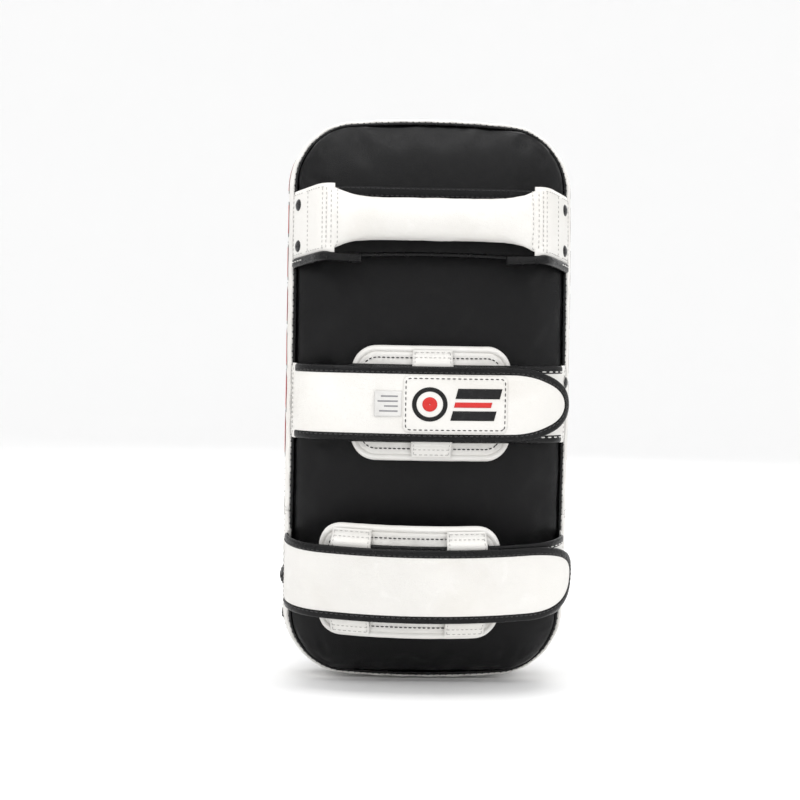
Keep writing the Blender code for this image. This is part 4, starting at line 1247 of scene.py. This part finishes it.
def forearm_strap(word, arch, pad_s, pad_half, keepers):
    """One row of the holder's side: the outer strap, the inner strap, the cushion and its keepers."""
    sewn = {"length": 0.0020, "gap": 0.0012, "radius": 0.0003}

    def bent_strap(name, nodes, end_at, offset, bound, tip, taper, half):
        strap = strap_leather(name, arch, end_at(0.0002), bound, tip - taper,
                              taper - math.copysign(0.0009, taper), half, offset)
        bend_at_root(strap, arch.point(end_at(ROOT_TAB - 0.001), 0.0, offset),
                     arch.point(end_at(STRAP_START - 0.001), 0.0, offset))
        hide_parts(*nodes)
        probe = surface(strap)

        def on(s, z):
            return probe(arch.point(s, z, offset), arch.normal(s))

        first, last, reach = end_at(0.0016), end_at(ROOT_TAB - 0.0012), half - 0.003
        return on, first, last, [[on(s, reach * z) for z in across(20)] for s in (first, last)]

    outer, inner, riding = f"{word}_outer", f"{word}_inner", f"{word}_cushion"
    start, tip, taper = arch.from_left(STRAP_START), arch.right_end - TIP_SHORT, 0.044
    nodes = (f"{word}_strap", f"{word}_strap_root")
    on, first, last, lines = bent_strap(f"{word}_strap_leather", nodes, arch.from_left, LAYER, start,
                                        tip, taper, OUTER_HALF)
    bound_edge(f"{word}_strap_edge", arch, start, tip - taper, taper, OUTER_HALF, LAYER, outer,
               f"{word}_strap_binding", False)
    cross = [[on(first + (last - first) * k / 16, (OUTER_HALF - 0.003) * z * sign)
              for k, z in enumerate(across(16))] for sign in (-1.0, 1.0)]
    stitches(f"{word}_root_stitches", cross + lines, GREY_THREAD, "pad", **sewn)

    start, tip, taper = arch.from_right(STRAP_START), -0.0660, -0.010
    nodes = (f"{word}_inner_strap", f"{word}_inner_root")
    _, _, _, lines = bent_strap(f"{word}_inner_leather", nodes, arch.from_right, 0.0, start, tip,
                                taper, INNER_HALF)
    bound_edge(f"{word}_inner_edge", arch, start, tip - taper, taper, INNER_HALF, 0.0, inner,
               f"{word}_inner_binding", True)
    stitches(f"{word}_inner_root_stitches", lines, GREY_THREAD, "pad", **sewn)

    cushion(word, arch, pad_s, *pad_half, riding)
    for name, node, shift in keepers:
        keeper(name, node, arch, pad_s + shift, pad_half[1], riding)


def patch(arch):
    """The sewn patch on the middle strap, with a plain ring and bars in place of lettering."""
    half_s, half_z = PATCH_HALF
    columns, rows = 48, 26

    def place(i, j):
        s, z = rounded(2.0 * i / columns - 1.0, 2.0 * j / rows - 1.0, half_s, half_z, 0.004)
        return arch.point(PATCH_S + s, z, PATCH_LIFT)

    obj = slab("strap_patch_leather", columns, rows, place, 0.0010, WHITE, arch.middle(), crown=0.0001)
    join(obj, "middle_outer", "strap_patch")
    probe = surface(obj)

    def on(s, z):
        return arch.point(PATCH_S + s, z, PATCH_LIFT), arch.normal(PATCH_S + s)

    line = [probe(*on(*rounded(s, t, half_s - 0.0018, half_z - 0.0018, 0.003))) for s, t in square_walk(120)]
    stitches("strap_patch_sewing", [line], BLACK_THREAD, "middle_outer", length=0.0024, gap=0.0014,
             radius=0.00036)

    def ring(inner, outer):
        def place_mark(x, y):
            angle, size = 2.0 * math.pi * x, inner + (outer - inner) * y
            return on(size * math.cos(angle) - 0.0175, size * math.sin(angle))
        return place_mark

    def bar(left, right, low, high):
        def place_mark(x, y):
            z = low + (high - low) * y
            return on(left + (right - left) * x + 0.25 * z, z)
        return place_mark

    for name, place_mark, mat, columns, rows in (
        ("ring", ring(0.0088, 0.0118), INK, 40, 3),
        ("disc", ring(0.0003, 0.0050), RED, 32, 3),
        ("bar_upper", bar(-0.0015, 0.0285, 0.0040, 0.0110), INK, 16, 4),
        ("bar_middle", bar(-0.0010, 0.0240, -0.0020, 0.0016), RED, 16, 3),
        ("bar_lower", bar(-0.0010, 0.0285, -0.0110, -0.0044), INK, 16, 4),
    ):
        decal(f"strap_patch_{name}", columns, rows, place_mark, probe, mat, "middle_outer", 0.00022,
              wrap=columns > 16)


def care_label(arch):
    """A loose satin label sewn under the patch's edge; its free end curls a little off the strap."""
    width, half_z = LABEL_SIZE
    edge = PATCH_S - PATCH_HALF[0] - 0.0010
    columns, rows = 20, 14

    def place(i, j):
        share = i / columns
        curl = 0.0011 * share ** 2 + 0.0002 * math.sin(5.0 * share + 0.6 * j) * share
        return arch.point(edge - width * share, half_z * (2.0 * j / rows - 1.0), PATCH_LIFT + curl)

    obj = slab("care_label_satin", columns, rows, place, 0.0004, LABEL, arch.middle())
    join(obj, "label_flap", "care_label")
    probe = surface(obj)
    for n, (z, reach) in enumerate(((0.0052, 0.62), (0.0018, 0.74), (-0.0016, 0.50), (-0.0050, 0.68))):
        def on(x, y, z=z, reach=reach):
            s = edge - width * (0.14 + reach * x)
            return arch.point(s, z + 0.0011 * (y - 0.5), PATCH_LIFT + 0.001), arch.normal(s)
        decal(f"care_label_line_{n + 1}", 14, 2, on, probe, LABEL_INK, "label_flap", 0.00010)


# ---------------------------------------------------------------- putting it together
def build():
    stage()
    strike = cover("strike_leather", "strike_cover", 1.0, STRIKE_INSET, STRIKE_CROWN, STRIKE_RUN, 0.0010)
    back = cover("back_leather", "back_cover", -1.0, BACK_INSET, BACK_CROWN, BACK_RUN, 0.0010)
    upper = band("side_band_upper", "gusset_upper", SEAM_D + 0.0002, 2.0 * HALF_ROUND - SEAM_D - 0.0002)
    lower = band("side_band_lower", "gusset_lower", -SEAM_D + 0.0001, SEAM_D - 0.0001, SLIT_D)
    seam_welt(1.0, 0.0288, -0.0008)
    seam_welt(-1.0, -0.0292, -0.0048)
    strike_mark(strike)
    back_seam(back)
    side_prints(upper)
    panel_stitches(upper, lower)
    tongue()
    lace()
    sleeve = grip_roll()
    grip_back()
    grip_tabs()
    grip_stitches(sleeve)

    arch = Arch(0.0, 0.0725 - LAYER, 0.230, 0.070, 0.078)
    forearm_strap("middle", arch, 0.0, (0.0575, 0.0400), [("middle_keeper_loop", "middle_keeper", 0.0)])
    patch(arch)
    care_label(arch)
    arch = Arch(-0.114, 0.0900 - LAYER, 0.205, 0.074, 0.070)
    forearm_strap("lower", arch, -0.015, (0.0660, 0.0400),
                  [("lower_keeper_loop_left", "lower_keeper_left", -0.040),
                   ("lower_keeper_loop_right", "lower_keeper_right", 0.040)])


build()
